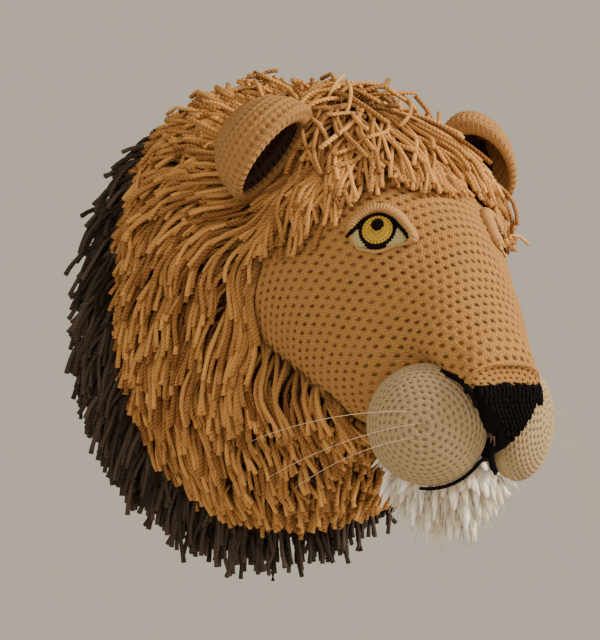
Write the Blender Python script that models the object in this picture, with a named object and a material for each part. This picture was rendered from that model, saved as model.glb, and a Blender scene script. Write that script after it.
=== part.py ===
"""Crocheted lion head with a yarn mane, made to hang on a wall.

Metres, +Z up. The wall is the plane y = 0 and the lion looks along -Y. The origin is on the wall, in the
middle of the flat back. The lion's right side is -X.
"""
import math

import bmesh
import bpy
from mathutils import Vector
from mathutils.bvhtree import BVHTree

MM = 0.001

# Distance kept between two pieces that touch.
GAP = 0.5 * MM

# Head: rounds of the crochet tube from the wall to the end of the snout, in millimetres.
# Depth from the wall, height of the middle, forward tilt in degrees, half width, half height,
# how much narrower the top is than the bottom, and how square the round is (2 is an ellipse).
HEAD_ROUNDS = [
    (0, 0, 0, 150, 166, 0.00, 2.0),
    (38, 3, 0, 134, 148, 0.00, 2.0),
    (80, 10, 0, 122, 133, 0.00, 2.0),
    (130, 20, 5, 114, 122, 0.01, 2.0),
    (185, 27, 15, 111, 113, 0.03, 2.0),
    (228, 18, 26, 103, 107, 0.08, 2.0),
    (266, -2, 32, 89, 98, 0.15, 2.0),
    (304, -25, 34, 72, 83, 0.17, 2.0),
    (338, -45, 33, 55, 64, 0.12, 2.1),
    (360, -56, 32, 42, 50, 0.00, 2.3),
    (373, -62, 30, 34, 41, -0.16, 2.5),
    (381, -66, 28, 29, 34.6, -0.24, 2.8),
]
HEAD_COLUMNS = 36
HEAD_PLACES = [0, 1, 2, 3, 3.5, 4, 4.5, 5, 5.5, 6, 6.5, 7, 7.5, 8, 8.5, 9, 10, 11]
# How far the sides of the snout draw in behind the pads.
UNDERCUT = 0.36
# Ridge across the snout where the front of the muzzle is joined on.
RIDGE_HEIGHT = 1.6 * MM
# Front of the muzzle: forward face behind the nose, and the hollow between the pads under it.
FRONT_DEPTH = 398 * MM
FRONT_MIDDLE = -66 * MM
HOLLOW_DEPTH = 381 * MM
HOLLOW_SLOPE = 0.53
NOSE_TIP = -88 * MM
NOSE_SIDE_SLOPE = 0.8
FRONT_SHRINK = (0.9, 0.7, 0.4)

# Muzzle pads: two buns, their flat way turned outwards.
PAD_CENTRE = Vector((40, -350, -80)) * MM
PAD_RADIUS = 45 * MM
PAD_THICKNESS = 26 * MM
PAD_TURN = 40
PAD_COLUMNS = 18
PAD_ROWS = 7

# Nose and the strip under it: half width and height of each row from the toothed edge down.
NOSE_TEETH = 8
NOSE_TOOTH_HEIGHT = 3.6 * MM
NOSE_ROWS = [(29, -54, 0), (27, -61, 0), (20, -70, 0), (12, -79, 390), (5.6, -88, 383), (4.0, -96, 376),
             (3.8, -103, 372)]
NOSE_STANDS_OUT = 3.0 * MM
NOSE_ROOM = 1.3 * MM
STRIP_THICKNESS = 4.5 * MM

# Lips: a crocheted cord along the lower edge of both pads.
LIP_RADIUS = 1.8 * MM
LIP_MEETING = Vector((0, -374, -106)) * MM

# Eyes.
PATCH_COLUMNS = 16
EYE_PLACE = Vector((54, -420, 64)) * MM
EYE_TURN = 33
EYE_LIFT = 12
EYE_RADIUS = 14.4 * MM
WING_REACH = 8.6 * MM
IRIS_RADIUS = 11.6 * MM
PUPIL_RADIUS = 5.2 * MM
LID_HALF_WIDTH = 27 * MM
LID_UPPER = 20.5 * MM
LID_LOWER = 17.5 * MM

# Ears: deep cups. Middle of the rim, way the opening faces, half length, half width and depth.
EAR_CENTRE = Vector((95, -210, 127)) * MM
EAR_FACING = Vector((-0.50, -0.64, -0.57))
EAR_UPWARD = Vector((-0.55, -0.20, 0.80))
EAR_HALF_LENGTH = 47 * MM
EAR_HALF_WIDTH = 32 * MM
EAR_DEPTH = 52 * MM
EAR_ROOM = 1.2 * MM
EAR_WALL = 7 * MM
EAR_COLUMNS = 18
EAR_ROWS = 5

# Manes: locks lie in layers, the tips of one over the roots of the next.
MANE_COLUMNS = 72
FRONT_MANE_BACK = 38.5 * MM
FRONT_MANE_HALF_WIDTH = 168 * MM
FRONT_MANE_HALF_HEIGHT = 199 * MM
FRONT_MANE_LAYERS = 4
FRONT_MANE_LOCKS = 18
FRONT_MANE_FULLNESS = 2.6
BACK_MANE_HALF_WIDTH = 203 * MM
BACK_MANE_HALF_HEIGHT = 220 * MM
BACK_MANE_DROP = 7 * MM
BACK_MANE_LOCKS = 24
BACK_MANE_FULLNESS = 2.2

# Forelock: from the parting on top of the head forward over the brow.
PARTING = 1.5 * MM
# Room between the hair and the head.
HAIR_ROOM = 2.0 * MM
FORELOCK_ROOM = 3.4 * MM
FORELOCK_LOCKS = 9

# Beard under the muzzle.
BEARD_CENTRE_DEPTH = 314 * MM
BEARD_HALF_WIDTH = 49 * MM
BEARD_HALF_DEPTH = 58 * MM
BEARD_LOCKS = 8

# Whiskers: where each starts on the right pad (turn and rise in degrees), and how far it reaches.
WHISKER_RADIUS = 0.4 * MM
WHISKERS_RIGHT = [
    (-14, 22, Vector((-104, 60, -24)) * MM),
    (2, 6, Vector((-98, 62, -44)) * MM),
    (-6, -16, Vector((-76, 50, -40)) * MM),
]
WHISKERS_LEFT = [
    (-14, 20, Vector((62, 44, -62)) * MM),
    (2, 0, Vector((74, 40, -86)) * MM),
    (-8, -18, Vector((66, 44, -88)) * MM),
]


# Plain helpers

def pick(table, place, item):
    """Smooth value of one item of the table at a place between its rows."""
    last = len(table) - 1
    row = min(int(place), last - 1)
    part = place - row
    before = table[max(row - 1, 0)][item]
    start = table[row][item]
    end = table[row + 1][item]
    after = table[min(row + 2, last)][item]
    slope_in = (end - before) / 2
    slope_out = (after - start) / 2
    p2 = part * part
    p3 = p2 * part
    return (start * (2 * p3 - 3 * p2 + 1) + slope_in * (p3 - 2 * p2 + part)
            + end * (3 * p2 - 2 * p3) + slope_out * (p3 - p2))


def blend(a, b, part):
    return a + (b - a) * part


def ease(value, low, high):
    """0 below low, 1 above high, smooth between."""
    part = max(0.0, min(1.0, (value - low) / (high - low)))
    return part * part * (3 - 2 * part)


def along(points, value):
    """Value read from a list of pairs with straight lines between them."""
    for (x0, y0), (x1, y1) in zip(points, points[1:]):
        if value <= x1:
            return blend(y0, y1, (value - x0) / (x1 - x0))
    return points[-1][1]


def grid_faces(rows, columns, wrap, start=0, flip=False):
    """Quads between rows of points laid out one row after another."""
    faces = []
    last = columns if wrap else columns - 1
    for row in range(rows - 1):
        for column in range(last):
            a = start + row * columns + column
            b = start + row * columns + (column + 1) % columns
            quad = (a, b, b + columns, a + columns)
            faces.append(quad[::-1] if flip else quad)
    return faces


def add_node(name, points, faces, material, smooth=True):
    mesh = bpy.data.meshes.new(name)
    mesh.from_pydata([tuple(p) for p in points], [], faces)
    mesh.materials.append(material)
    skin = bmesh.new()
    skin.from_mesh(mesh)
    bmesh.ops.recalc_face_normals(skin, faces=skin.faces)
    skin.to_mesh(mesh)
    skin.free()
    if smooth:
        mesh.polygons.foreach_set("use_smooth", [True] * len(mesh.polygons))
    node = bpy.data.objects.new(name, mesh)
    collection.objects.link(node)
    return node


def shell(outer, inner, wrap):
    """Closed solid between an outer and an inner grid of the same size. Both are lists of rows."""
    rows = len(outer)
    columns = len(outer[0])
    points = [p for row in outer for p in row] + [p for row in inner for p in row]
    second = rows * columns
    faces = grid_faces(rows, columns, wrap)
    faces += grid_faces(rows, columns, wrap, second, True)
    last = columns if wrap else columns - 1
    for column in range(last):
        a = column
        b = (column + 1) % columns
        faces.append((b, a, second + a, second + b))
        a += (rows - 1) * columns
        b += (rows - 1) * columns
        faces.append((a, b, second + b, second + a))
    if not wrap:
        for row in range(rows - 1):
            a = row * columns
            b = a + columns
            faces.append((a, b, second + b, second + a))
            a += columns - 1
            b += columns - 1
            faces.append((b, a, second + a, second + b))
    return points, faces


def mirrored(points, faces):
    return [Vector((-p.x, p.y, p.z)) for p in points], [f[::-1] for f in faces]


def both_sides(name, points, faces, material, smooth=True):
    """The piece on the lion's left as given, and its mirror image on the right."""
    left = add_node(name + "_left", points, faces, material, smooth)
    points, faces = mirrored(points, faces)
    right = add_node(name + "_right", points, faces, material, smooth)
    return left, right


def facing(turn, lift):
    """Way out, way across and way up of a piece turned outwards and lifted, in degrees."""
    a = math.radians(turn)
    e = math.radians(lift)
    out = Vector((math.sin(a) * math.cos(e), -math.cos(a) * math.cos(e), math.sin(e)))
    across = Vector((0, 0, 1)).cross(out).normalized()
    return out, across, out.cross(across)


# Yarns

def yarn(name, red, green, blue, roughness=0.95):
    material = bpy.data.materials.new(name)
    material.use_nodes = True
    shader = material.node_tree.nodes["Principled BSDF"]
    shader.inputs["Base Color"].default_value = (red, green, blue, 1)
    shader.inputs["Roughness"].default_value = roughness
    material.diffuse_color = (red, green, blue, 1)
    return material


# Head

def round_point(place, angle, out=0.0):
    """Point on the head at a place along the rounds, angle from the top towards the lion's left."""
    depth, height, tilt, half_width, half_height, narrow, square = [
        pick(HEAD_ROUNDS, place, item) for item in range(7)]
    tilt = math.radians(tilt)
    up = Vector((0, -math.sin(tilt), math.cos(tilt)))
    s = math.sin(angle)
    c = math.cos(angle)
    size = (abs(s) ** square + abs(c) ** square) ** (-1 / square)
    under_pads = UNDERCUT * ease(depth, 312, 350) * ease(-c, -0.5, -0.1)
    x = (half_width * MM + out) * s * size * (1 - narrow * c) * (1 - under_pads)
    y = (half_height * MM + out) * c * size
    return Vector((x, -depth * MM, height * MM)) + up * y


def front_depth(x, z):
    """Depth of the front of the muzzle: full behind the nose, hollow under its two slanting edges."""
    edge = NOSE_TIP + abs(x) * NOSE_SIDE_SLOPE
    full = ease(z, edge - 7 * MM, edge + 2 * MM)
    hollow = HOLLOW_DEPTH + (z - FRONT_MIDDLE) * HOLLOW_SLOPE
    rounding = 3300 * x ** 4 + 6 * max(0.0, z - FRONT_MIDDLE) ** 2
    return blend(hollow, FRONT_DEPTH - rounding, full)


def head_front(tree, x, z):
    """Depth of the head's foremost skin round one spot of the muzzle."""
    depth = 0.34
    for down, side in ((-7, 0), (-3, -3), (-3, 3), (0, 0), (3, -3), (3, 3), (7, 0)):
        hit = tree.ray_cast(Vector((x + side * MM, -0.45, z + down * MM)), Vector((0, 1, 0)))[0]
        if hit is not None:
            depth = max(depth, -hit.y)
    return depth


def head_skin():
    points = []
    for place in HEAD_PLACES:
        for column in range(HEAD_COLUMNS):
            angle = 2 * math.pi * column / HEAD_COLUMNS
            ridge = RIDGE_HEIGHT * max(0.0, math.cos(angle)) if place == HEAD_PLACES[-1] else 0.0
            points.append(round_point(place, angle, ridge))
    rim = points[-HEAD_COLUMNS:]
    for p in points[:HEAD_COLUMNS]:
        p.y = 0.0
    for shrink in FRONT_SHRINK:
        for p in rim:
            x = p.x * shrink
            z = FRONT_MIDDLE + (p.z - FRONT_MIDDLE) * shrink
            full = -front_depth(x, z)
            points.append(Vector((x, blend(full, p.y, max(0.0, shrink - 0.8) * 3.0), z)))
    rows = len(HEAD_PLACES) + len(FRONT_SHRINK)
    faces = grid_faces(rows, HEAD_COLUMNS, True)
    faces.append(tuple(range(HEAD_COLUMNS))[::-1])
    points.append(Vector((0, -front_depth(0, FRONT_MIDDLE), FRONT_MIDDLE)))
    tip = len(points) - 1
    last = tip - HEAD_COLUMNS
    for column in range(HEAD_COLUMNS):
        faces.append((last + column, last + (column + 1) % HEAD_COLUMNS, tip))
    return points, faces


def bun(centre, turn, radius, thickness, columns, rows):
    """A squashed ball."""
    out, across, up = facing(turn, 0)
    points = [centre + out * thickness]
    for row in range(1, rows):
        slope = math.pi * row / rows
        for column in range(columns):
            angle = 2 * math.pi * column / columns
            side = across * math.cos(angle) + up * math.sin(angle)
            points.append(centre + out * (thickness * math.cos(slope)) + side * (radius * math.sin(slope)))
    points.append(centre - out * thickness)
    faces = grid_faces(rows - 1, columns, True, 1)
    low = len(points) - 1
    for column in range(columns):
        following = (column + 1) % columns
        faces.append((0, 1 + following, 1 + column))
        faces.append((low, low - columns + column, low - columns + following))
    return points, faces


def cord(path, radius, sides, ends=0.6):
    """Round cord along a path, its ends drawn in a little."""
    points = []
    for k, p in enumerate(path):
        ahead = (path[min(k + 1, len(path) - 1)] - path[max(k - 1, 0)]).normalized()
        across = ahead.cross(Vector((0, 0.3, 1))).normalized()
        up = across.cross(ahead)
        size = radius * (ends if k in (0, len(path) - 1) else 1.0)
        for side in range(sides):
            angle = 2 * math.pi * side / sides
            points.append(p + across * (size * math.cos(angle)) + up * (size * math.sin(angle)))
    faces = grid_faces(len(path), sides, True)
    faces.append(tuple(range(sides))[::-1])
    faces.append(tuple(range(len(points) - sides, len(points))))
    return points, faces


def drop(tree, start, way):
    """Where a line from the start along the way first meets the skin."""
    hit = tree.ray_cast(start, way)[0]
    return hit if hit is not None else start + way * 0.1


def patch(tree, centre, out, across, up, outline, rings, low, high):
    """Patch lying on the head. outline gives its reach at an angle; low and high give the two faces."""
    columns = PATCH_COLUMNS
    top = []
    bottom = []
    spots = [(0.0, 0.0)]
    for ring in rings:
        for column in range(columns):
            angle = 2 * math.pi * column / columns
            reach = outline(angle) * ring
            spots.append((math.cos(angle) * reach, math.sin(angle) * reach))
    for index, (u, v) in enumerate(spots):
        ring = 0.0 if index == 0 else rings[(index - 1) // columns]
        on_head = drop(tree, centre + across * u + up * v + out * 0.05, -out)
        bottom.append(on_head + out * low)
        top.append(on_head + out * high(ring))
    points = top + bottom
    second = len(top)
    faces = []
    for column in range(columns):
        following = (column + 1) % columns
        faces.append((0, 1 + column, 1 + following))
        faces.append((second, second + 1 + following, second + 1 + column))
        edge = 1 + (len(rings) - 1) * columns
        faces.append((edge + column, second + edge + column, second + edge + following, edge + following))
    faces += grid_faces(len(rings), columns, True, 1)
    faces += grid_faces(len(rings), columns, True, second + 1, True)
    return points, faces


# Manes and forelock: every point is found by its depth and its angle round the head

def axis(depth):
    """Middle of the head at a depth, the point the hair is measured from."""
    return Vector((0, -depth, along([(0, 0), (0.2, 0.024), (0.26, 0.004), (0.31, -0.02)], depth)))


def ray_way(angle):
    return Vector((math.sin(angle), 0, math.cos(angle)))


def head_reach(tree, depth, angle):
    """Distance of the head's skin from its middle."""
    way = ray_way(angle)
    start = axis(depth) + way * 0.4
    hit = tree.ray_cast(start, -way)[0]
    return (hit - axis(depth)).length if hit is not None else 0.05


def oval(half_width, half_height, angle, fullness):
    """Reach of an oval whose upper half is fuller than an ellipse."""
    power = blend(2.0, fullness, ease(math.cos(angle), -0.2, 0.3))
    wide = abs(math.sin(angle) / half_width) ** power
    high = abs(math.cos(angle) / half_height) ** power
    return (wide + high) ** (-1 / power)


def lobe(angle, count, phase):
    """Rounded ridges with sharp valleys, one for each lock; widths and heights vary a little."""
    shifted = angle + 0.05 * math.sin(5 * angle + phase) + 0.03 * math.sin(9 * angle + 2 * phase)
    return abs(math.sin(shifted * count / 2 + phase)) ** 0.8


FACE_EDGE = [(0, 150), (22, 150), (34, 158), (46, 164), (58, 172), (66, 190), (74, 204),
             (82, 206), (92, 194), (100, 190), (108, 187), (116, 196), (124, 226),
             (130, 246), (137, 256), (150, 250), (180, 246)]


def face_edge(angle):
    """Depth of the edge of the face: behind the parting on top, behind the ears, forward under the jaw."""
    turn = math.degrees(abs((angle + math.pi) % (2 * math.pi) - math.pi))
    return along(FACE_EDGE, turn) * MM


def front_mane(tree):
    """Layers of locks from the edge of the face back to the dark mane."""
    outer = []
    inner = []
    rows = []
    for layer in range(FRONT_MANE_LAYERS):
        rows += [(layer, 0.0), (layer, 0.45), (layer, 0.92)]
    rows.append((FRONT_MANE_LAYERS - 1, 1.0))
    angles = [2 * math.pi * k / MANE_COLUMNS for k in range(MANE_COLUMNS)]
    for layer, part in rows:
        outer_row = []
        inner_row = []
        for angle in angles:
            locks = lobe(angle, FRONT_MANE_LOCKS, layer * 1.57)
            tip = 0.045 * locks if 0.5 < part < 0.95 else 0.0
            going = (layer + part) / FRONT_MANE_LAYERS + tip
            start = face_edge(angle)
            depth = blend(start, FRONT_MANE_BACK, min(going, 1.0))
            near = head_reach(tree, depth, angle) + HAIR_ROOM
            full = oval(FRONT_MANE_HALF_WIDTH, FRONT_MANE_HALF_HEIGHT, angle, FRONT_MANE_FULLNESS)
            rise = along([(0, 0.0), (0.2, 0.36), (0.45, 0.74), (0.7, 0.97), (0.85, 1.0), (1.1, 0.93)], going)
            first = head_reach(tree, start, angle) + HAIR_ROOM
            reach = blend(first, full, rise) + 3 * MM
            relief = (part - 0.5) * 10 * MM + (locks - 0.5) * (0.5 + 0.5 * part) * 17 * MM
            if layer == 0:
                relief *= 0.45 + 0.55 * part
            if part == 1.0:
                relief -= 10 * MM
            limit = full * (1.0 if depth < 62 * MM else 1.1)
            reach = min(max(reach + relief, near + 2 * MM), limit)
            middle = axis(depth)
            outer_row.append(middle + ray_way(angle) * reach)
            inner_row.append(middle + ray_way(angle) * near)
        outer.append(outer_row)
        inner.append(inner_row)
    keep = [0, 3, 6, 9, len(rows) - 1]
    return ring_solid(outer, [inner[k] for k in keep])


def ring_solid(outer, inner):
    """Closed ring between an outer skin and an inner skin with fewer rows."""
    columns = len(outer[0])
    points = [p for row in outer for p in row] + [p for row in inner for p in row]
    second = len(outer) * columns
    faces = grid_faces(len(outer), columns, True)
    faces += grid_faces(len(inner), columns, True, second, True)
    last_outer = (len(outer) - 1) * columns
    last_inner = second + (len(inner) - 1) * columns
    for column in range(columns):
        following = (column + 1) % columns
        faces.append((following, column, second + column, second + following))
        faces.append((last_outer + column, last_outer + following,
                      last_inner + following, last_inner + column))
    return points, faces


def back_mane(tree):
    """Dark ring of locks against the wall."""
    profile = [(0.0, 0.93, 0.0), (9.0, 0.965, 0.5), (21.0, 1.0, 1.0), (24.0, 0.965, 0.3),
               (35.0, 1.01, 0.6), (47.0, 1.02, 0.5), (37.5, 0.985, 0.0)]
    outer = []
    inner = []
    angles = [2 * math.pi * k / MANE_COLUMNS for k in range(MANE_COLUMNS)]
    for row, (depth, size, relief) in enumerate(profile):
        outer_row = []
        for angle in angles:
            phase = 0.0 if row < 3 else 1.57
            full = oval(BACK_MANE_HALF_WIDTH, BACK_MANE_HALF_HEIGHT, angle, BACK_MANE_FULLNESS)
            reach = full * size + relief * (lobe(angle, BACK_MANE_LOCKS, phase) - 0.4) * 9 * MM
            outer_row.append(Vector((0, -depth * MM, -BACK_MANE_DROP)) + ray_way(angle) * reach)
        outer.append(outer_row)
    for depth in (0.0, 37.5):
        inner_row = []
        for angle in angles:
            start = Vector((0, -depth * MM - 1e-5, 0)) + ray_way(angle) * 0.4
            near = tree.ray_cast(start, -ray_way(angle))[0]
            reach = math.hypot(near.x, near.z) + HAIR_ROOM
            inner_row.append(Vector((0, -depth * MM, 0)) + ray_way(angle) * reach)
        inner.append(inner_row)
    return ring_solid(outer, inner)


FORELOCK_SPREAD = [(0, 29), (0.3, 29), (0.5, 38), (0.62, 48), (0.75, 64), (0.87, 75), (1, 81)]
FORELOCK_SIDE_DEPTH = [(0, 159), (0.3, 178), (0.5, 224), (0.7, 230), (0.85, 224), (1, 212)]


def forelock(tree):
    """Locks from the parting forward over the brow."""
    rows = 8
    columns = 28
    outer = []
    inner = []
    for row in range(rows):
        going = row / (rows - 1)
        outer_row = []
        inner_row = []
        for column in range(columns):
            side = 2 * column / (columns - 1) - 1
            spread = along(FORELOCK_SPREAD, going)
            angle = math.radians(spread) * side
            locks = abs(math.cos(side * math.pi * FORELOCK_LOCKS / 2)) ** 0.7
            middle_depth = blend(face_edge(0) + PARTING, 296 * MM, going)
            side_depth = along(FORELOCK_SIDE_DEPTH, going) * MM
            depth = blend(middle_depth, side_depth, abs(side) ** 1.5) + locks * 7 * MM * ease(going, 0.7, 1)
            near = head_reach(tree, depth, angle) + FORELOCK_ROOM
            thick = along([(0, 56), (0.25, 52), (0.5, 36), (0.75, 20), (0.93, 12), (1, 5)], going) * MM
            thick *= 1 - 0.45 * abs(side) ** 3
            thick += (locks - 0.5) * 6 * MM * ease(going, 0.05, 0.5)
            middle = axis(depth)
            outer_row.append(middle + ray_way(angle) * (near + max(thick, 2.5 * MM)))
            inner_row.append(middle + ray_way(angle) * near)
        outer.append(outer_row)
        inner.append(inner_row)
    return shell(outer, inner, False)


def beard(trees):
    """Hanging locks under the muzzle; the top follows what lies above it."""
    rows = 4
    columns = 32
    centre = Vector((0, -BEARD_CENTRE_DEPTH, 0))
    top = []
    bottom = []
    for row in range(1, rows + 1):
        part = row / rows
        top_row = []
        bottom_row = []
        for column in range(columns):
            angle = 2 * math.pi * column / columns
            locks = abs(math.sin(angle * BEARD_LOCKS / 2)) ** 0.7
            swell = 1 + 0.16 * (locks - 0.6) * part
            x = BEARD_HALF_WIDTH * part * math.sin(angle) * swell
            y = centre.y + BEARD_HALF_DEPTH * part * math.cos(angle) * swell
            above = beard_roof(trees, x, y)
            hang = blend(-0.174, above - 16 * MM, part ** 4.5) - locks * part * (1 - part) * 26 * MM
            top_row.append(Vector((x, y, above)))
            bottom_row.append(Vector((x, y, min(hang, above - 3 * MM))))
        top.append(top_row)
        bottom.append(bottom_row)
    points = [Vector((0, centre.y, beard_roof(trees, 0, centre.y))), Vector((0, centre.y, -0.172))]
    points += [p for row in top for p in row] + [p for row in bottom for p in row]
    second = 2 + rows * columns
    faces = grid_faces(rows, columns, True, 2) + grid_faces(rows, columns, True, second, True)
    edge = 2 + (rows - 1) * columns
    low_edge = second + (rows - 1) * columns
    for column in range(columns):
        following = (column + 1) % columns
        faces.append((0, 2 + following, 2 + column))
        faces.append((1, second + column, second + following))
        faces.append((edge + column, edge + following, low_edge + following, low_edge + column))
    return points, faces


def beard_roof(trees, x, y):
    """Height just under the head, the pads and the lips at one spot, with a little room."""
    lowest = -0.088
    for tree in trees:
        for dx, dy in ((0, 0), (4, 0), (-4, 0), (0, 4), (0, -4)):
            hit = tree.ray_cast(Vector((x + dx * MM, y + dy * MM, -0.4)), Vector((0, 0, 1)))[0]
            if hit is not None:
                lowest = min(lowest, hit.z)
    return lowest - 2.2 * MM


def ear(inside, shrink=0.0):
    """The two skins of a cup, row by row from the rim; inside gives only the deep lining."""
    out = EAR_FACING.normalized()
    up = (EAR_UPWARD - out * EAR_UPWARD.dot(out)).normalized()
    across = up.cross(out)
    outer = []
    inner = []
    first = 0.3 if inside else 0.0
    rows = 3 if inside else EAR_ROWS
    for row in range(rows + 1):
        part = blend(first, 1.0, row / rows)
        slope = math.pi / 2 * (1 - part) * 0.98
        outer_row = []
        inner_row = []
        for column in range(EAR_COLUMNS):
            angle = 2 * math.pi * column / EAR_COLUMNS
            skins = []
            for wall in (0.0, EAR_WALL, EAR_WALL + GAP, EAR_WALL + GAP + 3 * MM):
                radius_up = EAR_HALF_LENGTH - wall - shrink
                radius_across = EAR_HALF_WIDTH - wall - shrink
                deep = EAR_DEPTH - wall - shrink
                p = EAR_CENTRE + up * (radius_up * math.sin(slope) * math.cos(angle))
                p += across * (radius_across * math.sin(slope) * math.sin(angle))
                p -= out * (deep * math.cos(slope) ** 0.9)
                skins.append(p)
            outer_row.append(skins[2] if inside else skins[0])
            inner_row.append(skins[3] if inside else skins[1])
        outer.append(outer_row)
        inner.append(inner_row)
    return outer, inner


def ear_plug():
    """The ear filled up to its rim and grown a little, to cut the hair with."""
    outer = ear(False, -EAR_ROOM)[0]
    lift = EAR_FACING.normalized() * 2 * EAR_ROOM
    outer[0] = [p + lift for p in outer[0]]
    columns = len(outer[0])
    points = [p for row in outer[:-1] for p in row]
    faces = grid_faces(len(outer) - 1, columns, True)
    points.append(sum(outer[-1], Vector((0, 0, 0))) / columns)
    last = len(points) - 1 - columns
    for column in range(columns):
        faces.append((last + column, last + (column + 1) % columns, len(points) - 1))
    faces.append(tuple(range(columns)))
    return points, faces


def cup(outer, inner):
    """Closed cup from two skins that end in a point at the bottom of the cup."""
    rows = len(outer) - 1
    columns = len(outer[0])
    points = [p for row in outer[:-1] for p in row] + [p for row in inner[:-1] for p in row]
    second = rows * columns
    middle_out = sum(outer[-1], Vector((0, 0, 0))) / columns
    middle_in = sum(inner[-1], Vector((0, 0, 0))) / columns
    points += [middle_out, middle_in]
    faces = grid_faces(rows, columns, True) + grid_faces(rows, columns, True, second, True)
    for column in range(columns):
        following = (column + 1) % columns
        faces.append((following, column, second + column, second + following))
        last = (rows - 1) * columns
        faces.append((last + column, last + following, len(points) - 2))
        last += second
        faces.append((last + following, last + column, len(points) - 1))
    return points, faces


def cut_with(node, cutter):
    cut = node.modifiers.new("Cut", "BOOLEAN")
    cut.operation = "DIFFERENCE"
    cut.solver = "EXACT"
    cut.object = cutter


def add_cutter(name, points, faces):
    node = add_node(name, points, faces, camel)
    collection.objects.unlink(node)
    cutters.objects.link(node)
    node.hide_render = True
    node.display_type = "WIRE"
    return node


# Start with an empty file
for old in list(bpy.data.objects):
    bpy.data.objects.remove(old)

collection = bpy.data.collections.new("Crocheted lion head")
bpy.context.scene.collection.children.link(collection)
cutters = bpy.data.collections.new("Cutters")
bpy.context.scene.collection.children.link(cutters)
cutters.hide_render = True

camel = yarn("Camel yarn", 0.52, 0.29, 0.10)
camel_hair = yarn("Camel mane yarn", 0.46, 0.24, 0.08)
dark_hair = yarn("Dark brown mane yarn", 0.022, 0.016, 0.013)
greige = yarn("Greige yarn", 0.42, 0.32, 0.20)
cream = yarn("Cream yarn", 0.80, 0.72, 0.58)
black = yarn("Black yarn", 0.008, 0.007, 0.008)
yellow = yarn("Yellow yarn", 0.62, 0.34, 0.03)
pale = yarn("Pale yarn", 0.70, 0.64, 0.40)
lining = yarn("Dark brown lining yarn", 0.045, 0.028, 0.020)
filament = yarn("Whisker filament", 0.75, 0.70, 0.58, 0.35)

# Head with the hollows the muzzle pads are sewn into
head_points, head_faces = head_skin()
head_tree = BVHTree.FromPolygons(head_points, head_faces)
head = add_node("head", head_points, head_faces, camel)
for side in (1, -1):
    place = Vector((PAD_CENTRE.x * side, PAD_CENTRE.y, PAD_CENTRE.z))
    hollow = bun(place, PAD_TURN * side, PAD_RADIUS + GAP, PAD_THICKNESS + GAP, PAD_COLUMNS, PAD_ROWS)
    cut_with(head, add_cutter("pad_hollow_left" if side > 0 else "pad_hollow_right", *hollow))

pad_points, pad_faces = bun(PAD_CENTRE, PAD_TURN, PAD_RADIUS, PAD_THICKNESS, PAD_COLUMNS, PAD_ROWS)
both_sides("muzzle_pad", pad_points, pad_faces, greige)

# Nose with its strip
nose_front = []
nose_back = []
for row, (half_width, height, depth) in enumerate(NOSE_ROWS):
    front_row = []
    back_row = []
    for column in range(NOSE_TEETH * 2 + 1):
        side = column / NOSE_TEETH - 1
        x = half_width * MM * side
        bow = (1 - side * side) * 2.0 * MM
        tooth = NOSE_TOOTH_HEIGHT * (column % 2) if row == 0 else 0.0
        z = height * MM + tooth + (bow if row < 2 else 0.0)
        skin = head_front(head_tree, x, z) + NOSE_ROOM
        stands = NOSE_STANDS_OUT if row == 0 else STRIP_THICKNESS - 0.5 * MM
        front = max(depth * MM, skin + stands)
        front_row.append(Vector((x, -front, z)))
        back_row.append(Vector((x, -max(skin, front - STRIP_THICKNESS), z)))
    nose_front.append(front_row)
    nose_back.append(back_row)
nose_points, nose_faces = shell(nose_front, nose_back, False)
add_node("nose", nose_points, nose_faces, black)

# Lips
out, across, up = facing(PAD_TURN, 0)
lip_path = []
for step in range(7):
    angle = math.radians(blend(-86, -152, step / 6))
    reach = PAD_RADIUS + LIP_RADIUS + GAP + 0.5 * MM
    lip_path.append(PAD_CENTRE + (across * math.cos(angle) + up * math.sin(angle)) * reach + out * 3 * MM)
lip_path.append(LIP_MEETING)
right_half = [Vector((-p.x, p.y, p.z)) for p in lip_path[:-1]]
lip_path += right_half[::-1]
lip_points, lip_faces = cord(lip_path, LIP_RADIUS, 6)
add_node("mouth", lip_points, lip_faces, black)

# Eyes and lids
out, across, up = facing(EYE_TURN, EYE_LIFT)
eye_middle = drop(head_tree, Vector((EYE_PLACE.x, EYE_PLACE.y, EYE_PLACE.z)), Vector((0, 1, 0)))


def almond(angle):
    """Reach of the black edge: round, with a point to each side, a little below the middle."""
    outer_point = math.exp(-((math.degrees(angle) - 345) / 15) ** 2)
    outer_point += math.exp(-((math.degrees(angle) + 15) / 15) ** 2)
    inner_point = math.exp(-((math.degrees(angle) - 195) / 15) ** 2)
    return EYE_RADIUS + WING_REACH * (outer_point + inner_point)


def almond_white(angle):
    if math.sin(angle) > 0:
        return almond(angle) - 1.5 * MM
    return EYE_RADIUS + 0.5 * MM + math.cos(angle) ** 2 * 6 * MM


white = patch(head_tree, eye_middle, out, across, up, almond_white, (1.0,), GAP, lambda r: 1.6 * MM)
both_sides("eye_white", *white, pale)
edge = patch(head_tree, eye_middle, out, across, up, almond, (0.74, 1.0), 2.1 * MM,
             lambda r: 3.2 * MM if r < 0.8 else 4.4 * MM)
both_sides("eye_edge", *edge, black)
iris = patch(head_tree, eye_middle, out, across, up, lambda a: IRIS_RADIUS * 0.86, (1.0,), 3.7 * MM,
             lambda r: 5.8 * MM - 0.8 * MM * r)
both_sides("iris", *iris, yellow)
pupil = patch(head_tree, eye_middle, out, across, up, lambda a: PUPIL_RADIUS, (1.0,), 6.3 * MM,
              lambda r: 7.4 * MM)
both_sides("pupil", *pupil, black)

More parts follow.
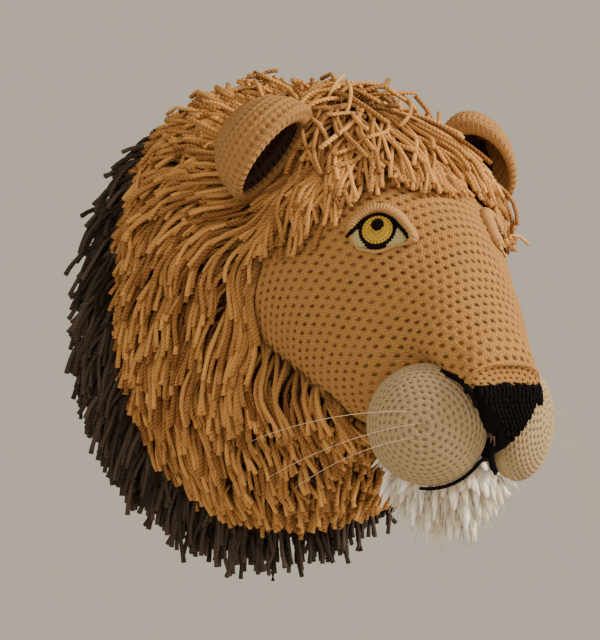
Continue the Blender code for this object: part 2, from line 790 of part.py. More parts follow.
lid_points = []
lid_steps = 16
lid_sides = 5
for step in range(lid_steps):
    angle = 2 * math.pi * step / lid_steps
    high = LID_UPPER if math.sin(angle) > 0 else LID_LOWER
    wide = 4.2 * MM if math.sin(angle) > 0.1 else 3.0 * MM
    u = math.cos(angle) * LID_HALF_WIDTH
    v = math.sin(angle) * high - 1 * MM
    way = Vector((math.cos(angle) / LID_HALF_WIDTH, math.sin(angle) / high)).normalized()
    for side in range(lid_sides):
        turn = 2 * math.pi * side / lid_sides
        shift = math.cos(turn) * wide
        start = eye_middle + across * (u + way.x * shift) + up * (v + way.y * shift) + out * 0.06
        on_head = drop(head_tree, start, -out)
        lid_points.append(on_head + out * (GAP + 2.4 * MM + math.sin(turn) * 2.3 * MM))
lid_faces = grid_faces(lid_steps, lid_sides, True)
for side in range(lid_sides):
    a = (lid_steps - 1) * lid_sides + side
    b = (lid_steps - 1) * lid_sides + (side + 1) % lid_sides
    lid_faces.append((a, b, (side + 1) % lid_sides, side))
both_sides("eyelids", lid_points, lid_faces, camel)

# Ears, cut to the head
grown_points = []
for place in HEAD_PLACES:
    for column in range(HEAD_COLUMNS):
        grown_points.append(round_point(place, 2 * math.pi * column / HEAD_COLUMNS, 1.0 * MM))
grown_faces = grid_faces(len(HEAD_PLACES), HEAD_COLUMNS, True)
grown_faces.append(tuple(range(HEAD_COLUMNS))[::-1])
grown_faces.append(tuple(range(len(grown_points) - HEAD_COLUMNS, len(grown_points))))
skull_cutter = add_cutter("skull_cutter", grown_points, grown_faces)

for node in both_sides("ear", *cup(*ear(False)), camel):
    cut_with(node, skull_cutter)
for node in both_sides("ear_lining", *cup(*ear(True)), lining):
    cut_with(node, skull_cutter)

# Hair
plug_points, plug_faces = ear_plug()
plugs = [add_cutter("ear_plug_left", plug_points, plug_faces),
         add_cutter("ear_plug_right", *mirrored(plug_points, plug_faces))]
mane_front = add_node("mane_front", *front_mane(head_tree), camel_hair, False)
add_node("mane_back", *back_mane(head_tree), dark_hair, False)
forelock_node = add_node("forelock", *forelock(head_tree), camel_hair, False)
for plug in plugs:
    cut_with(mane_front, plug)
    cut_with(forelock_node, plug)

pads = [BVHTree.FromPolygons(pad_points, pad_faces), BVHTree.FromPolygons(*mirrored(pad_points, pad_faces))]
lips = BVHTree.FromPolygons(lip_points, lip_faces)
strip = BVHTree.FromPolygons(nose_points, nose_faces)
add_node("beard", *beard([head_tree, lips, strip] + pads), cream, False)

# Whiskers
for side, word, whiskers in ((-1, "right", WHISKERS_RIGHT), (1, "left", WHISKERS_LEFT)):
    for index, (turn, lift, reach) in enumerate(whiskers):
        out, across, up = facing((PAD_TURN - turn) * side, lift)
        flat_out, flat_across, flat_up = facing(PAD_TURN * side, 0)
        middle = Vector((PAD_CENTRE.x * side, PAD_CENTRE.y, PAD_CENTRE.z))
        squash = Vector((out.dot(flat_across) / PAD_RADIUS, out.dot(flat_up) / PAD_RADIUS,
                         out.dot(flat_out) / PAD_THICKNESS))
        root = middle + out * (1 / squash.length + WHISKER_RADIUS + GAP)
        curve = bpy.data.curves.new("whisker", "CURVE")
        curve.dimensions = "3D"
        curve.bevel_depth = WHISKER_RADIUS
        curve.bevel_resolution = 2
        curve.use_fill_caps = True
        spline = curve.splines.new("POLY")
        steps = 5
        spline.points.add(steps - 1)
        for k in range(steps):
            part = k / (steps - 1)
            rise = math.sin(math.pi * part) * 7 * MM
            p = root + reach * part + flat_out * rise * 1.4 + Vector((0, 0, rise))
            spline.points[k].co = (p.x, p.y, p.z, 1)
        curve.materials.append(filament)
        node = bpy.data.objects.new("whisker_%s_%d" % (word, index + 1), curve)
        collection.objects.link(node)
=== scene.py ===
"""Crocheted lion head with a yarn mane, hung on a wall: the looks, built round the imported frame."""

from math import atan2, cos, degrees, hypot, pi, radians, sin

import bpy
import numpy as np
from mathutils import Matrix, Vector
from mathutils.bvhtree import BVHTree


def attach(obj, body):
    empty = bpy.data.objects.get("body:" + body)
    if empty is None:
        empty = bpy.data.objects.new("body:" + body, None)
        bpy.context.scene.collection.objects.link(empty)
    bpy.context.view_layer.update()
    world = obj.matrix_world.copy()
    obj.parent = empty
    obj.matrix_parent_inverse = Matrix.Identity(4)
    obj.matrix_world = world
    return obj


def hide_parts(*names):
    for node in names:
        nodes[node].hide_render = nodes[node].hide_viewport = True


MM = 0.001
TURN = 2 * pi
SIDES = ((1, "left"), (-1, "right"))

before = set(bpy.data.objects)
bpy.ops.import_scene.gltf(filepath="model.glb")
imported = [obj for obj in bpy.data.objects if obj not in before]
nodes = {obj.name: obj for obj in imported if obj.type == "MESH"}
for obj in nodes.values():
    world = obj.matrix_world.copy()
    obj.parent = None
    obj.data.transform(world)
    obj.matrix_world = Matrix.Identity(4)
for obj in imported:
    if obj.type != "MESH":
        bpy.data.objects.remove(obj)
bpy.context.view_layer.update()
dice = np.random.default_rng(411)


# Plain helpers

def colour(hex_value):
    """Linear colour of an sRGB hex value."""
    parts = [int(hex_value[k:k + 2], 16) / 255 for k in (1, 3, 5)]
    linear = [p / 12.92 if p <= 0.04045 else ((p + 0.055) / 1.055) ** 2.4 for p in parts]
    return (*linear, 1.0)


def blend(a, b, part):
    return a + (b - a) * part


def ease(value, low, high):
    """0 below low, 1 above high, smooth between."""
    part = np.clip((value - low) / (high - low), 0.0, 1.0)
    return part * part * (3 - 2 * part)


def along(pairs, value):
    """Value read from a list of pairs with straight lines between them."""
    return np.interp(value, [p[0] for p in pairs], [p[1] for p in pairs])


def unit(vectors):
    return vectors / np.maximum(np.linalg.norm(vectors, axis=-1, keepdims=True), 1e-9)


def point(x, y, z):
    return np.stack(np.broadcast_arrays(x, y, z), axis=-1).astype(float)


def circle(count):
    return np.linspace(0, TURN, count, endpoint=False)


def join(*parts):
    return np.concatenate(parts)


def facing(turn, lift):
    """Way out, way across and way up of a piece turned outwards and lifted, in degrees."""
    a, e = radians(turn), radians(lift)
    out = Vector((sin(a) * cos(e), -cos(a) * cos(e), sin(e)))
    across = Vector((0, 0, 1)).cross(out).normalized()
    return out, across, out.cross(across)


def skin_of(*pieces):
    """Search tree over the faces of some pieces."""
    points = []
    faces = []
    for piece in pieces:
        first = len(points)
        points += [v.co.copy() for v in piece.data.vertices]
        faces += [[first + v for v in f.vertices] for f in piece.data.polygons]
    return BVHTree.FromPolygons(points, faces)


def nothing_selected():
    if bpy.context.object and bpy.context.object.mode != "OBJECT":
        bpy.ops.object.mode_set(mode="OBJECT")
    bpy.ops.object.select_all(action="DESELECT")


def faces_outward(merge=0.0, close=False, quads=False):
    """Merges doubles, closes holes or joins triangles as asked, and turns all faces outwards."""
    bpy.ops.object.mode_set(mode="EDIT")
    bpy.ops.mesh.select_all(action="SELECT")
    if merge:
        bpy.ops.mesh.remove_doubles(threshold=merge)
    if quads:
        bpy.ops.mesh.tris_convert_to_quads()
    if close:
        bpy.ops.mesh.select_all(action="DESELECT")
        bpy.ops.mesh.select_non_manifold()
        bpy.ops.mesh.fill_holes(sides=0)
        bpy.ops.mesh.select_all(action="SELECT")
    bpy.ops.mesh.normals_make_consistent(inside=False)
    bpy.ops.mesh.select_all(action="DESELECT")
    bpy.ops.object.mode_set(mode="OBJECT")


def finish_piece(piece, name, material, replaced=()):
    piece.name = name
    piece.data.name = name
    piece.data.materials.clear()
    piece.data.materials.append(material)
    piece.data.shade_smooth()
    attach(piece, "root")
    if replaced:
        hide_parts(*replaced)
    return piece


def worked_rows(count, each=5):
    """Round of each row of points, and its part of the round, when a round has some rows."""
    return np.arange(count) // each, (np.arange(count) % each) / each


def stitch_places(angles, rounds, count, shift):
    """Stitch and round at each point of rows of crochet."""
    across = angles / TURN * np.reshape(count, (-1, 1)) + np.reshape(shift, (-1, 1))
    return across, rounds[:, None] + 0 * angles


def woven_grid(name, points, rounds, count, shift, material, replaced=()):
    """Closed round piece from rows of points (rows, columns, 3) in metres. rounds, count and shift give each
    row's place in the rounds, its number of stitches and their shift; the ends are closed with a point."""
    rows, columns = points.shape[:2]
    count, shift = np.broadcast_to(count, rows), np.broadcast_to(shift, rows)
    nothing_selected()
    bpy.ops.mesh.primitive_grid_add(x_subdivisions=columns, y_subdivisions=rows - 1, size=1)
    piece = bpy.context.object
    mesh = piece.data
    closed = np.concatenate([points, points[:, :1]], axis=1)
    mesh.vertices.foreach_set("co", closed.astype(np.float32).ravel())
    corner = np.zeros(len(mesh.loops), np.int32)
    mesh.loops.foreach_get("vertex_index", corner)
    row, column = np.divmod(corner.reshape(-1, 4), columns + 1)
    low_row = row.min(axis=1)
    base = rounds[low_row][:, None]
    top = rounds[np.minimum(low_row + 1, rows - 1)][:, None]
    u = column / columns * count[low_row][:, None] + shift[low_row][:, None]
    v = np.where(row == low_row[:, None], base, np.minimum(top, np.floor(np.minimum(base, top) + 1e-6) + 1))
    for map_name, a, b in (("OFBake", column / columns, row / (rows - 1)), ("Stitch", u, v)):
        layer = mesh.uv_layers.new(name=map_name)
        layer.uv.foreach_set("vector", np.stack([a, b], -1).astype(np.float32).ravel())
    mesh.uv_layers.remove(mesh.uv_layers["UVMap"])
    mesh.update()
    faces_outward(merge=1e-6, close=True)
    return finish_piece(piece, name, material, replaced)


# Materials. Sizes in them are the real ones: a stitch of the face is 7.6 mm wide and 8.3 mm high.

def put(tree, kind, values):
    """Adds a node. A value goes to a setting or an input. A node, or a node and its output, is linked."""
    node = tree.nodes.new("ShaderNode" + kind)
    for key, value in values.items():
        output = 0
        if isinstance(value, tuple) and isinstance(value[0], bpy.types.Node):
            value, output = value
        if isinstance(value, bpy.types.Node):
            tree.links.new(value.outputs[output], node.inputs[key])
        elif isinstance(key, int) or key in node.inputs:
            node.inputs[key].default_value = value
        else:
            setattr(node, key, value)
    return node


def new_material(name, roughness, sheen=0.0, tint="#FFFFFF", shine=0.25):
    material = bpy.data.materials.new(name)
    material.use_nodes = True
    shader = material.node_tree.nodes["Principled BSDF"]
    shader.inputs["Roughness"].default_value = roughness
    shader.inputs["Specular IOR Level"].default_value = shine
    shader.inputs["Sheen Weight"].default_value = sheen
    shader.inputs["Sheen Roughness"].default_value = 0.6
    shader.inputs["Sheen Tint"].default_value = colour(tint)
    return material, material.node_tree, shader


def crochet(name, light, dark, hole, stitch, gap_size, gap_shade_strength=1.0, sheen=0.25):
    """Yarn crocheted in rounds: rows of stitches with a small gap between each two, painted dark with the shade
    that falls into it.
    stitch is the width and height of one stitch, gap_size how far its gap reaches, in millimetres."""
    material, tree, shader = new_material(name, 0.9, sheen, light)
    place = put(tree, "UVMap", {"uv_map": "Stitch"})
    split = put(tree, "SeparateXYZ", {0: place})
    part_u = put(tree, "Math", {"operation": "FRACT", 0: split})
    part_v = put(tree, "Math", {"operation": "FRACT", 0: (split, 1)})
    # distance from the gap, measured in millimetres and leaning with the twist of the stitch
    side = put(tree, "Math", {"operation": "SUBTRACT", 0: part_u, 1: 0.5})
    rise = put(tree, "Math", {"operation": "SUBTRACT", 0: part_v, 1: 0.26})
    lean = put(tree, "Math", {"operation": "MULTIPLY_ADD", 0: rise, 1: -0.5, 2: side})
    across = put(tree, "Math", {"operation": "MULTIPLY", 0: lean, 1: stitch[0] / gap_size[0]})
    up = put(tree, "Math", {"operation": "MULTIPLY", 0: rise, 1: stitch[1] / gap_size[1]})
    both = put(tree, "CombineXYZ", {0: across, 1: up})
    far = put(tree, "VectorMath", {"operation": "LENGTH", 0: both})
    gap = put(tree, "MapRange", {"interpolation_type": "SMOOTHSTEP", 0: (far, 1), "From Min": 0.3,
                                 "From Max": 1.0, "To Min": 1.0, "To Max": 0.0})
    # the two legs of each stitch, laid as a V
    fold = put(tree, "Math", {"operation": "ABSOLUTE", 0: side})
    slant = put(tree, "Math", {"operation": "MULTIPLY_ADD", 0: fold, 1: 1.5, 2: part_v})
    turns = put(tree, "Math", {"operation": "MULTIPLY", 0: slant, 1: 2 * TURN})
    legs = put(tree, "Math", {"operation": "SINE", 0: turns})
    # yarn is not evenly spun or lit: soft patches some 20 mm wide, and fluff of about 1 mm
    spot = put(tree, "TexCoord", {})
    patches = put(tree, "TexNoise", {0: (spot, 3), "Scale": 48.0, "Detail": 3.0})
    fluff = put(tree, "TexNoise", {0: (spot, 3), "Scale": 950.0, "Detail": 3.0, "Roughness": 0.7})
    legs_tone = put(tree, "Math", {"operation": "MULTIPLY_ADD", 0: legs, 1: 0.16, 2: 0.12})
    tone = put(tree, "Math", {"operation": "MULTIPLY_ADD", 0: fluff, 1: 0.7, 2: legs_tone})
    base = put(tree, "Mix", {"data_type": "RGBA", 0: tone, 6: colour(dark), 7: colour(light)})
    # painted shade in the gaps: each gap is mixed towards the hole colour, more in some soft patches than in
    # others
    uneven = put(tree, "MapRange", {0: patches, "From Min": 0.3, "From Max": 0.6,
                                    "To Min": 0.45 * gap_shade_strength, "To Max": gap_shade_strength})
    depth = put(tree, "Math", {"operation": "MULTIPLY", 0: gap, 1: uneven})
    final = put(tree, "Mix", {"data_type": "RGBA", 0: depth, 6: (base, 2), 7: colour(hole)})
    # relief: gaps sink in, legs stand up, fluff roughens both
    down = put(tree, "Math", {"operation": "MULTIPLY", 0: gap, 1: -1.0})
    raised = put(tree, "Math", {"operation": "MULTIPLY_ADD", 0: legs, 1: 0.16, 2: down})
    height = put(tree, "Math", {"operation": "MULTIPLY_ADD", 0: fluff, 1: 0.55, 2: raised})
    bump = put(tree, "Bump", {"Strength": 0.9, "Distance": 1.1 * MM, "Height": height})
    tree.links.new(final.outputs[2], shader.inputs["Base Color"])
    tree.links.new(bump.outputs[0], shader.inputs["Normal"])
    return material


def spun(name, light, dark, root, ply=7.0, sheen=0.3, contrast=0.6):
    """Cut strands of spun yarn: plies twisted round each other, every strand a little different,
    with painted shade in the root colour where it comes out of the depth. ply is the length of one turn of the
    twist in millimetres."""
    material, tree, shader = new_material(name, 0.88, sheen, light)
    place = put(tree, "UVMap", {"uv_map": "Yarn"})
    split = put(tree, "SeparateXYZ", {0: place})
    # u goes once round the strand, v is the length along it in millimetres, and two plies are wound together
    round_part = put(tree, "Math", {"operation": "MULTIPLY", 0: split, 1: 2.0})
    wind = put(tree, "Math", {"operation": "MULTIPLY_ADD", 0: (split, 1), 1: -2.0 / ply, 2: round_part})
    angle = put(tree, "Math", {"operation": "MULTIPLY", 0: wind, 1: TURN})
    plies = put(tree, "Math", {"operation": "SINE", 0: angle})
    spot = put(tree, "TexCoord", {})
    fluff = put(tree, "TexNoise", {0: (spot, 3), "Scale": 1100.0, "Detail": 2.0, "Roughness": 0.7})
    own = put(tree, "Attribute", {"attribute_name": "tone"})
    own_split = put(tree, "SeparateColor", {0: own})
    grain = put(tree, "Math", {"operation": "MULTIPLY_ADD", 0: plies, 1: 0.13, 2: own_split})
    tone = put(tree, "Math", {"operation": "MULTIPLY_ADD", 0: fluff, 1: contrast, 2: -contrast / 2})
    mixed = put(tree, "Math", {"operation": "ADD", "use_clamp": True, 0: grain, 1: tone})
    base = put(tree, "Mix", {"data_type": "RGBA", 0: mixed, 6: colour(dark), 7: colour(light)})
    # painted shade: the tone attribute's second channel blends the strand into the root colour near its root,
    # where the depth of the hair shades it
    final = put(tree, "Mix", {"data_type": "RGBA", 0: (own_split, 1), 6: colour(root), 7: (base, 2)})
    height = put(tree, "Math", {"operation": "MULTIPLY_ADD", 0: fluff, 1: 1.6, 2: plies})
    bump = put(tree, "Bump", {"Strength": 0.7, "Distance": 0.35 * MM, "Height": height})
    tree.links.new(final.outputs[2], shader.inputs["Base Color"])
    tree.links.new(bump.outputs[0], shader.inputs["Normal"])
    return material


def plain_yarn(name, light, dark, scale=700.0, sheen=0.2, rough=0.92, shine=0.25, relief=0.7):
    """Yarn seen too small to count its stitches: fluff of a millimetre or two in two tones."""
    material, tree, shader = new_material(name, rough, sheen, light, shine)
    spot = put(tree, "TexCoord", {})
    fluff = put(tree, "TexNoise", {0: (spot, 3), "Scale": scale, "Detail": 3.0, "Roughness": 0.65})
    base = put(tree, "Mix", {"data_type": "RGBA", 0: fluff, 6: colour(dark), 7: colour(light)})
    bump = put(tree, "Bump", {"Strength": 0.8, "Distance": relief * MM, "Height": fluff})
    tree.links.new(base.outputs[2], shader.inputs["Base Color"])
    tree.links.new(bump.outputs[0], shader.inputs["Normal"])
    return material


# The face is thick wool in single crochet: matt, warm camel, with brown painted shade in the small gap beside
# every stitch
camel_crochet = crochet("Camel yarn, crocheted", "#C69454", "#84582D", "#46280F",
                        (7.6, 8.3), (2.3, 2.7), 0.95)
# The ears are worked tighter in the same wool: finer stitches and hardly any gaps, with faint painted shade in
# them
camel_ear_crochet = crochet("Camel yarn, crocheted tight", "#BE9058", "#8A5E32", "#6A4420", (5.6, 5.4),
                            (1.8, 1.6), 0.42)
# Undyed greige wool over full stuffing: pale, with fine gaps in even rounds and painted shade in the gaps
greige_crochet = crochet("Greige yarn, crocheted", "#C6B08A", "#907650", "#685436",
                         (5.4, 4.8), (1.7, 1.3), 0.62)
# Dark brown wool deep in the ear, with near black painted shade in its gaps
lining_crochet = crochet("Dark brown yarn, crocheted", "#5C4138", "#33231F", "#140D0C",
                         (6.0, 6.0), (2.0, 2.0), 0.8)
# Strands of 4 mm wool, two plies with a turn every 7 mm: golden on top, with dark brown painted shade towards the
# roots between them
camel_mane = spun("Camel yarn, cut strands", "#DFA55E", "#744620", "#2C170B")
# The same yarn in dark brown, which takes nearly all the light, with near black painted shade at the roots
dark_mane = spun("Dark brown yarn, cut strands", "#54463B", "#211914", "#0A0706", 7.0, 0.1)
# Loosely spun cream wool, combed out: hardly any twist, bright and soft, with tan painted shade at the roots
cream_wool = spun("Cream wool, loose tufts", "#FFFDF6", "#E2D0AE", "#C8B290", 16.0, 0.4, 0.35)
# Camel crocheted cloth under the mane, painted near black as the shade between the strands
mane_cap_painted_shade = plain_yarn("Camel crochet under the mane, painted dark with its shade", "#4A2C14", "#1C0F08")
# The dark band at the wall, coarse like the face, with near black painted shade in its gaps
dark_cloth = crochet("Dark brown yarn, crocheted band", "#3A2C24", "#1E1612", "#0A0706",
                     (7.6, 8.3), (2.3, 2.7), 0.8)
# Black yarn: no gloss and no sheen, so that only its stitches show
black_yarn = plain_yarn("Black yarn, crocheted", "#1C1718", "#030203", 620.0, 0.0, 0.95, 0.08, 1.6)
# Thin yellow yarn in rounds of stitches of 2.8 mm, with brown painted shade in the gaps between them
yellow_crochet = crochet("Yellow yarn, crocheted", "#F2C84E", "#B0801C", "#5E4210",
                         (2.8, 2.9), (0.9, 0.8), 0.75)
# Pale greenish yarn, too fine for its stitches to show
pale_yarn = plain_yarn("Pale yarn, crocheted", "#C9BC88", "#8C8054", 900.0)
# Slip stitches drawn tight, a smooth band lighter than the face
lid_yarn = plain_yarn("Camel yarn, slip-stitched band", "#CFA26A", "#94683A", 900.0)
# Stray fibres of the sewing yarn, dull pinkish brown
fibre_fluff = plain_yarn("Pinkish brown fibres", "#A07C70", "#6A4A42", 1500.0)
# Drawn nylon: smooth and slightly glossy
filament = plain_yarn("Whisker filament, drawn nylon", "#D8CCB2", "#B8A888", 300.0, 0.0, 0.35)


# Head: crocheted in rounds from the wall to the end of the snout

# depth, height and tilt of a round, half width, half height, narrowing to the top, squareness
HEAD_ROUNDS = np.array([
    (0, 0, 0, 150, 166, 0.00, 2.0), (38, 3, 0, 134, 148, 0.00, 2.0), (80, 10, 0, 122, 133, 0.00, 2.0),
    (130, 20, 5, 114, 122, 0.01, 2.0), (185, 27, 15, 111, 113, 0.03, 2.0), (228, 18, 26, 103, 107, 0.08, 2.0),
    (266, -2, 32, 89, 98, 0.15, 2.0), (304, -25, 34, 72, 83, 0.17, 2.0), (338, -45, 33, 55, 64, 0.12, 2.1),
    (360, -56, 32, 42, 50, 0.00, 2.3), (373, -62, 30, 34, 41, -0.16, 2.5),
    (381, -66, 28, 29, 34.6, -0.24, 2.8),
])
UNDERCUT = 0.36
FRONT_DEPTH = 398
FRONT_MIDDLE = -66
FRONT_ROWS = 24
FRONT_STITCH = 5.0
HOLLOW_DEPTH = 381
HOLLOW_SLOPE = 0.53
NOSE_TIP = -88
NOSE_SIDE_SLOPE = 0.8
FACE_STITCH = 7.6
FACE_ROUND = 8.3
HEAD_COLUMNS = 396
PANEL_ROUNDS = 18


def head_values(places):
    """Smooth values of the table of rounds at places between its rows."""
    last = len(HEAD_ROUNDS) - 1
    row = np.clip(places.astype(int), 0, last - 1)
    part = (places - row)[:, None]
    before, start, end, after = [HEAD_ROUNDS[np.clip(row + step, 0, last)] for step in (-1, 0, 1, 2)]
    p2 = part * part
    p3 = p2 * part
    return (start * (2 * p3 - 3 * p2 + 1) + (end - before) / 2 * (p3 - 2 * p2 + part)
            + end * (3 * p2 - 2 * p3) + (after - start) / 2 * (p3 - p2))


def head_points(places, angles, out=0):
    """Points on the head in millimetres: one row for each place, one column for each angle."""
    values = np.moveaxis(head_values(places)[:, :, None], 1, 0)
    depth, height, tilt, half_width, half_height, narrow, square = values
    tilt = np.radians(tilt)
    s = np.sin(angles)[None, :]
    c = np.cos(angles)[None, :]
    size = (np.abs(s) ** square + np.abs(c) ** square) ** (-1 / square)
    under_pads = UNDERCUT * ease(depth, 312, 350) * ease(-c, -0.5, -0.1)
    x = (half_width + out) * s * size * (1 - narrow * c) * (1 - under_pads)
    y = (half_height + out) * c * size
    return point(x, -depth - np.sin(tilt) * y, height + np.cos(tilt) * y)


def front_depth(x, z):
    """Depth of the front of the muzzle, full behind the nose and hollow between the pads."""
    edge = NOSE_TIP + np.abs(x) * NOSE_SIDE_SLOPE
    hollow = HOLLOW_DEPTH + (z - FRONT_MIDDLE) * HOLLOW_SLOPE
    rounding = 3.3e-6 * x ** 4 + 0.006 * np.maximum(0.0, z - FRONT_MIDDLE) ** 2
    return blend(hollow, FRONT_DEPTH - rounding, ease(z, edge - 7, edge + 2))


def stitch_relief(u, v, wide, high, ridge, hole):
    """Height of the stitches: swollen rounds with a sunk gap beside every stitch."""
    side = (u % 1.0 - 0.5) * wide
    rise = (v % 1.0 - 0.26) * high
    swell = 0.5 - 0.5 * np.cos(TURN * (v % 1.0 - 0.26))
    puff = 0.25 * np.cos(TURN * (u % 1.0 - 0.5)) * (1 - swell)
    gap = np.exp(-(side / (0.27 * wide)) ** 2 - (rise / (0.22 * high)) ** 2)
    return ridge * (swell - puff) - hole * gap


def build_head():
    fine = np.linspace(0, len(HEAD_ROUNDS) - 1, 1101)
    steps = np.linalg.norm(np.diff(head_points(fine, circle(24)), axis=0), axis=2).mean(axis=1)
    length = join([0], np.cumsum(steps))
    start = np.interp(2.6, fine, length)
    total = length[-1]
    rounds = int((total - start) / FACE_ROUND)
    back = np.linspace(0, start, 9)[:-1]
    index, part = worked_rows(rounds * 5 + 1)
    places = np.interp(join(back, start + (total - start) * (index + part) / rounds), length, fine)
    angles = circle(HEAD_COLUMNS)
    loops = head_points(places, np.append(angles, TURN))
    around = np.linalg.norm(np.diff(loops, axis=1), axis=2).sum(axis=1)
    index = join(0 * back, 1 + index).astype(int)
    part = join(0 * back, part)
    # stitches in a round stay the same for a few rounds, and are then drawn in
    count = np.zeros(len(places))
    for first in range(0, rounds + 2, 4):
        group = (index >= first) & (index < first + 4)
        if group.any():
            count[group] = round(around[group].mean() / FACE_STITCH)
    shift = index * 0.44
    shown = ease(np.arange(len(places)), len(back), len(back) + 3)[:, None]
    stitches = stitch_places(angles, index + part, count, shift)
    relief = stitch_relief(*stitches, FACE_STITCH, FACE_ROUND, 0.6, 1.3) * shown
    # ridge where the front of the muzzle is joined on, and the lumps of the stuffing
    to_end = (total - np.interp(places, fine, length))[:, None]
    relief += 2.0 * np.exp(-((to_end - 1.5) / 1.6) ** 2) * np.maximum(0, np.cos(angles))[None, :]
    lumps = (np.sin(angles * 3 + 1.3)[None, :] * np.sin(places * 2.1 + 0.4)[:, None]
             + np.sin(angles * 5 + 4.0)[None, :] * np.sin(places * 3.3 + 2.0)[:, None]) * 0.7
    tube = head_points(places, angles, relief - 0.5 + lumps * shown)
    tube[0, :, 1] = 0
    # front of the muzzle, from its edge inwards
    rim = head_points(places[-1:], angles)[0]
    shrink = (1 - np.arange(1, FRONT_ROWS + 1) / (FRONT_ROWS + 0.6))[:, None]
    x = rim[None, :, 0] * shrink
    z = FRONT_MIDDLE + (rim[None, :, 2] - FRONT_MIDDLE) * shrink
    depth = blend(front_depth(x, z), -rim[None, :, 1], np.clip((shrink - 0.8) / 0.2, 0, 1) ** 1.5)
    front_index, front_part = worked_rows(FRONT_ROWS, 3)
    front_rounds = rounds + 3 + front_index + front_part
    front_around = around[-1] * shrink[:, 0]
    front_count = np.maximum(6, np.round(front_around[front_index * 3] / FRONT_STITCH))
    front_shift = front_index * 0.47
    stitches = stitch_places(angles, front_rounds, front_count, front_shift)
    front = point(x, -depth - stitch_relief(*stitches, FRONT_STITCH, 3.5, 0.6, 0.9) + 0.5, z)
    # flat back, worked in rounds from its middle
    panel_index = np.arange(1, PANEL_ROUNDS)
    panel = panel_index / PANEL_ROUNDS
    panel_count = np.maximum(6, np.round(around[0] * panel / FACE_STITCH))
    points = join(tube[:1] * panel[:, None, None], tube, front) * MM
    return woven_grid("head_crochet", points, join(panel_index - PANEL_ROUNDS - 1, index + part, front_rounds),
                      join(panel_count, count, front_count), join(panel_index * 0.44, shift, front_shift),
                      camel_crochet, ["head"])


head_skin = skin_of(build_head())


# Muzzle pads: stuffed rounds worked from the middle of each

PAD_CENTRE = np.array((40, -350, -80))
PAD_RADIUS = 45
PAD_THICKNESS = 26
PAD_TURN = 40
PAD_ROUNDS = 13


def build_pad(side, word):
    out, across, up = [np.array(w) for w in facing(PAD_TURN * side, 0)]
    centre = PAD_CENTRE * np.array((side, 1, 1))
    front_rows = PAD_ROUNDS * 5
    arc = join(np.linspace(0.03, 1.0, front_rows + 1), np.linspace(1.12, 1.97, 7))
    angles = circle(180)
    index, part = worked_rows(len(arc))
    index = np.minimum(index, PAD_ROUNDS)
    part = np.where(np.arange(len(arc)) <= front_rows, part, 0)
    reach = np.sin((index + 0.5) / PAD_ROUNDS * pi / 2)
    count = np.maximum(5, np.round(TURN * PAD_RADIUS * reach / 5.6))
    shift = index * 0.46
    u, v = stitch_places(angles, index + part, count, shift)
    sunk = 0.8 * ease(arc, 1.02, 0.78)[:, None]
    relief = (stitch_relief(u, v, 5.4, 4.8, 0.7, 0.0) - stitch_relief(u, v, 5.4, 4.8, 0.0, -1.0) * sunk
              ) * (arc <= 1.0)[:, None]
    s = np.sin(arc * pi / 2)[:, None] ** 0.92
    c = np.cos(arc * pi / 2)[:, None]
    ways = across * np.cos(angles)[:, None] + up * np.sin(angles)[:, None]
    points = (centre + out * (c * (PAD_THICKNESS + relief - 0.3))[..., None]
              + ways * (s * (PAD_RADIUS + relief * 0.6 - 0.3))[..., None])
    woven_grid("muzzle_pad_crochet_" + word, points * MM, index + part, count, shift, greige_crochet,
               ["muzzle_pad_" + word])


for side, word in SIDES:
    build_pad(side, word)


# Ears: deep cups worked in rounds from the back, with the rim rolled

EAR_CENTRE = np.array((95, -210, 127))
EAR_FACING = np.array((-0.50, -0.64, -0.57))
EAR_UPWARD = np.array((-0.55, -0.20, 0.80))
EAR_HALF_LENGTH = 47
EAR_HALF_WIDTH = 32
EAR_DEPTH = 52
EAR_WALL = 7
EAR_STITCHES = 44
LINING_ROWS = 36


def ear_ways(side):
    out = unit(EAR_FACING)
    up = unit(EAR_UPWARD - out * EAR_UPWARD.dot(out))
    mirror = np.array((side, 1, 1))
    return EAR_CENTRE * mirror, out * mirror, up * mirror, np.cross(up, out) * mirror


def ear_skin(side, slope, angles, wall, relief):
    """Rows of points on the cup. The wall thickens towards the folded top of the ear."""
    centre, out, up, across = ear_ways(side)
    wall = wall * (1 + 1.3 * ((1 + np.cos(angles)) / 2) ** 3)[None, :]
    slope = slope if slope.ndim == 2 else slope[:, None]
    s = np.sin(slope)
    long_way = (EAR_HALF_LENGTH - wall + relief) * s * np.cos(angles)[None, :]
    wide_way = (EAR_HALF_WIDTH - wall + relief) * s * np.sin(angles)[None, :]
    deep = (EAR_DEPTH - wall + relief) * np.maximum(np.cos(slope), 0) ** 0.9
    return centre + up * long_way[..., None] + across * wide_way[..., None] - out * deep[..., None]


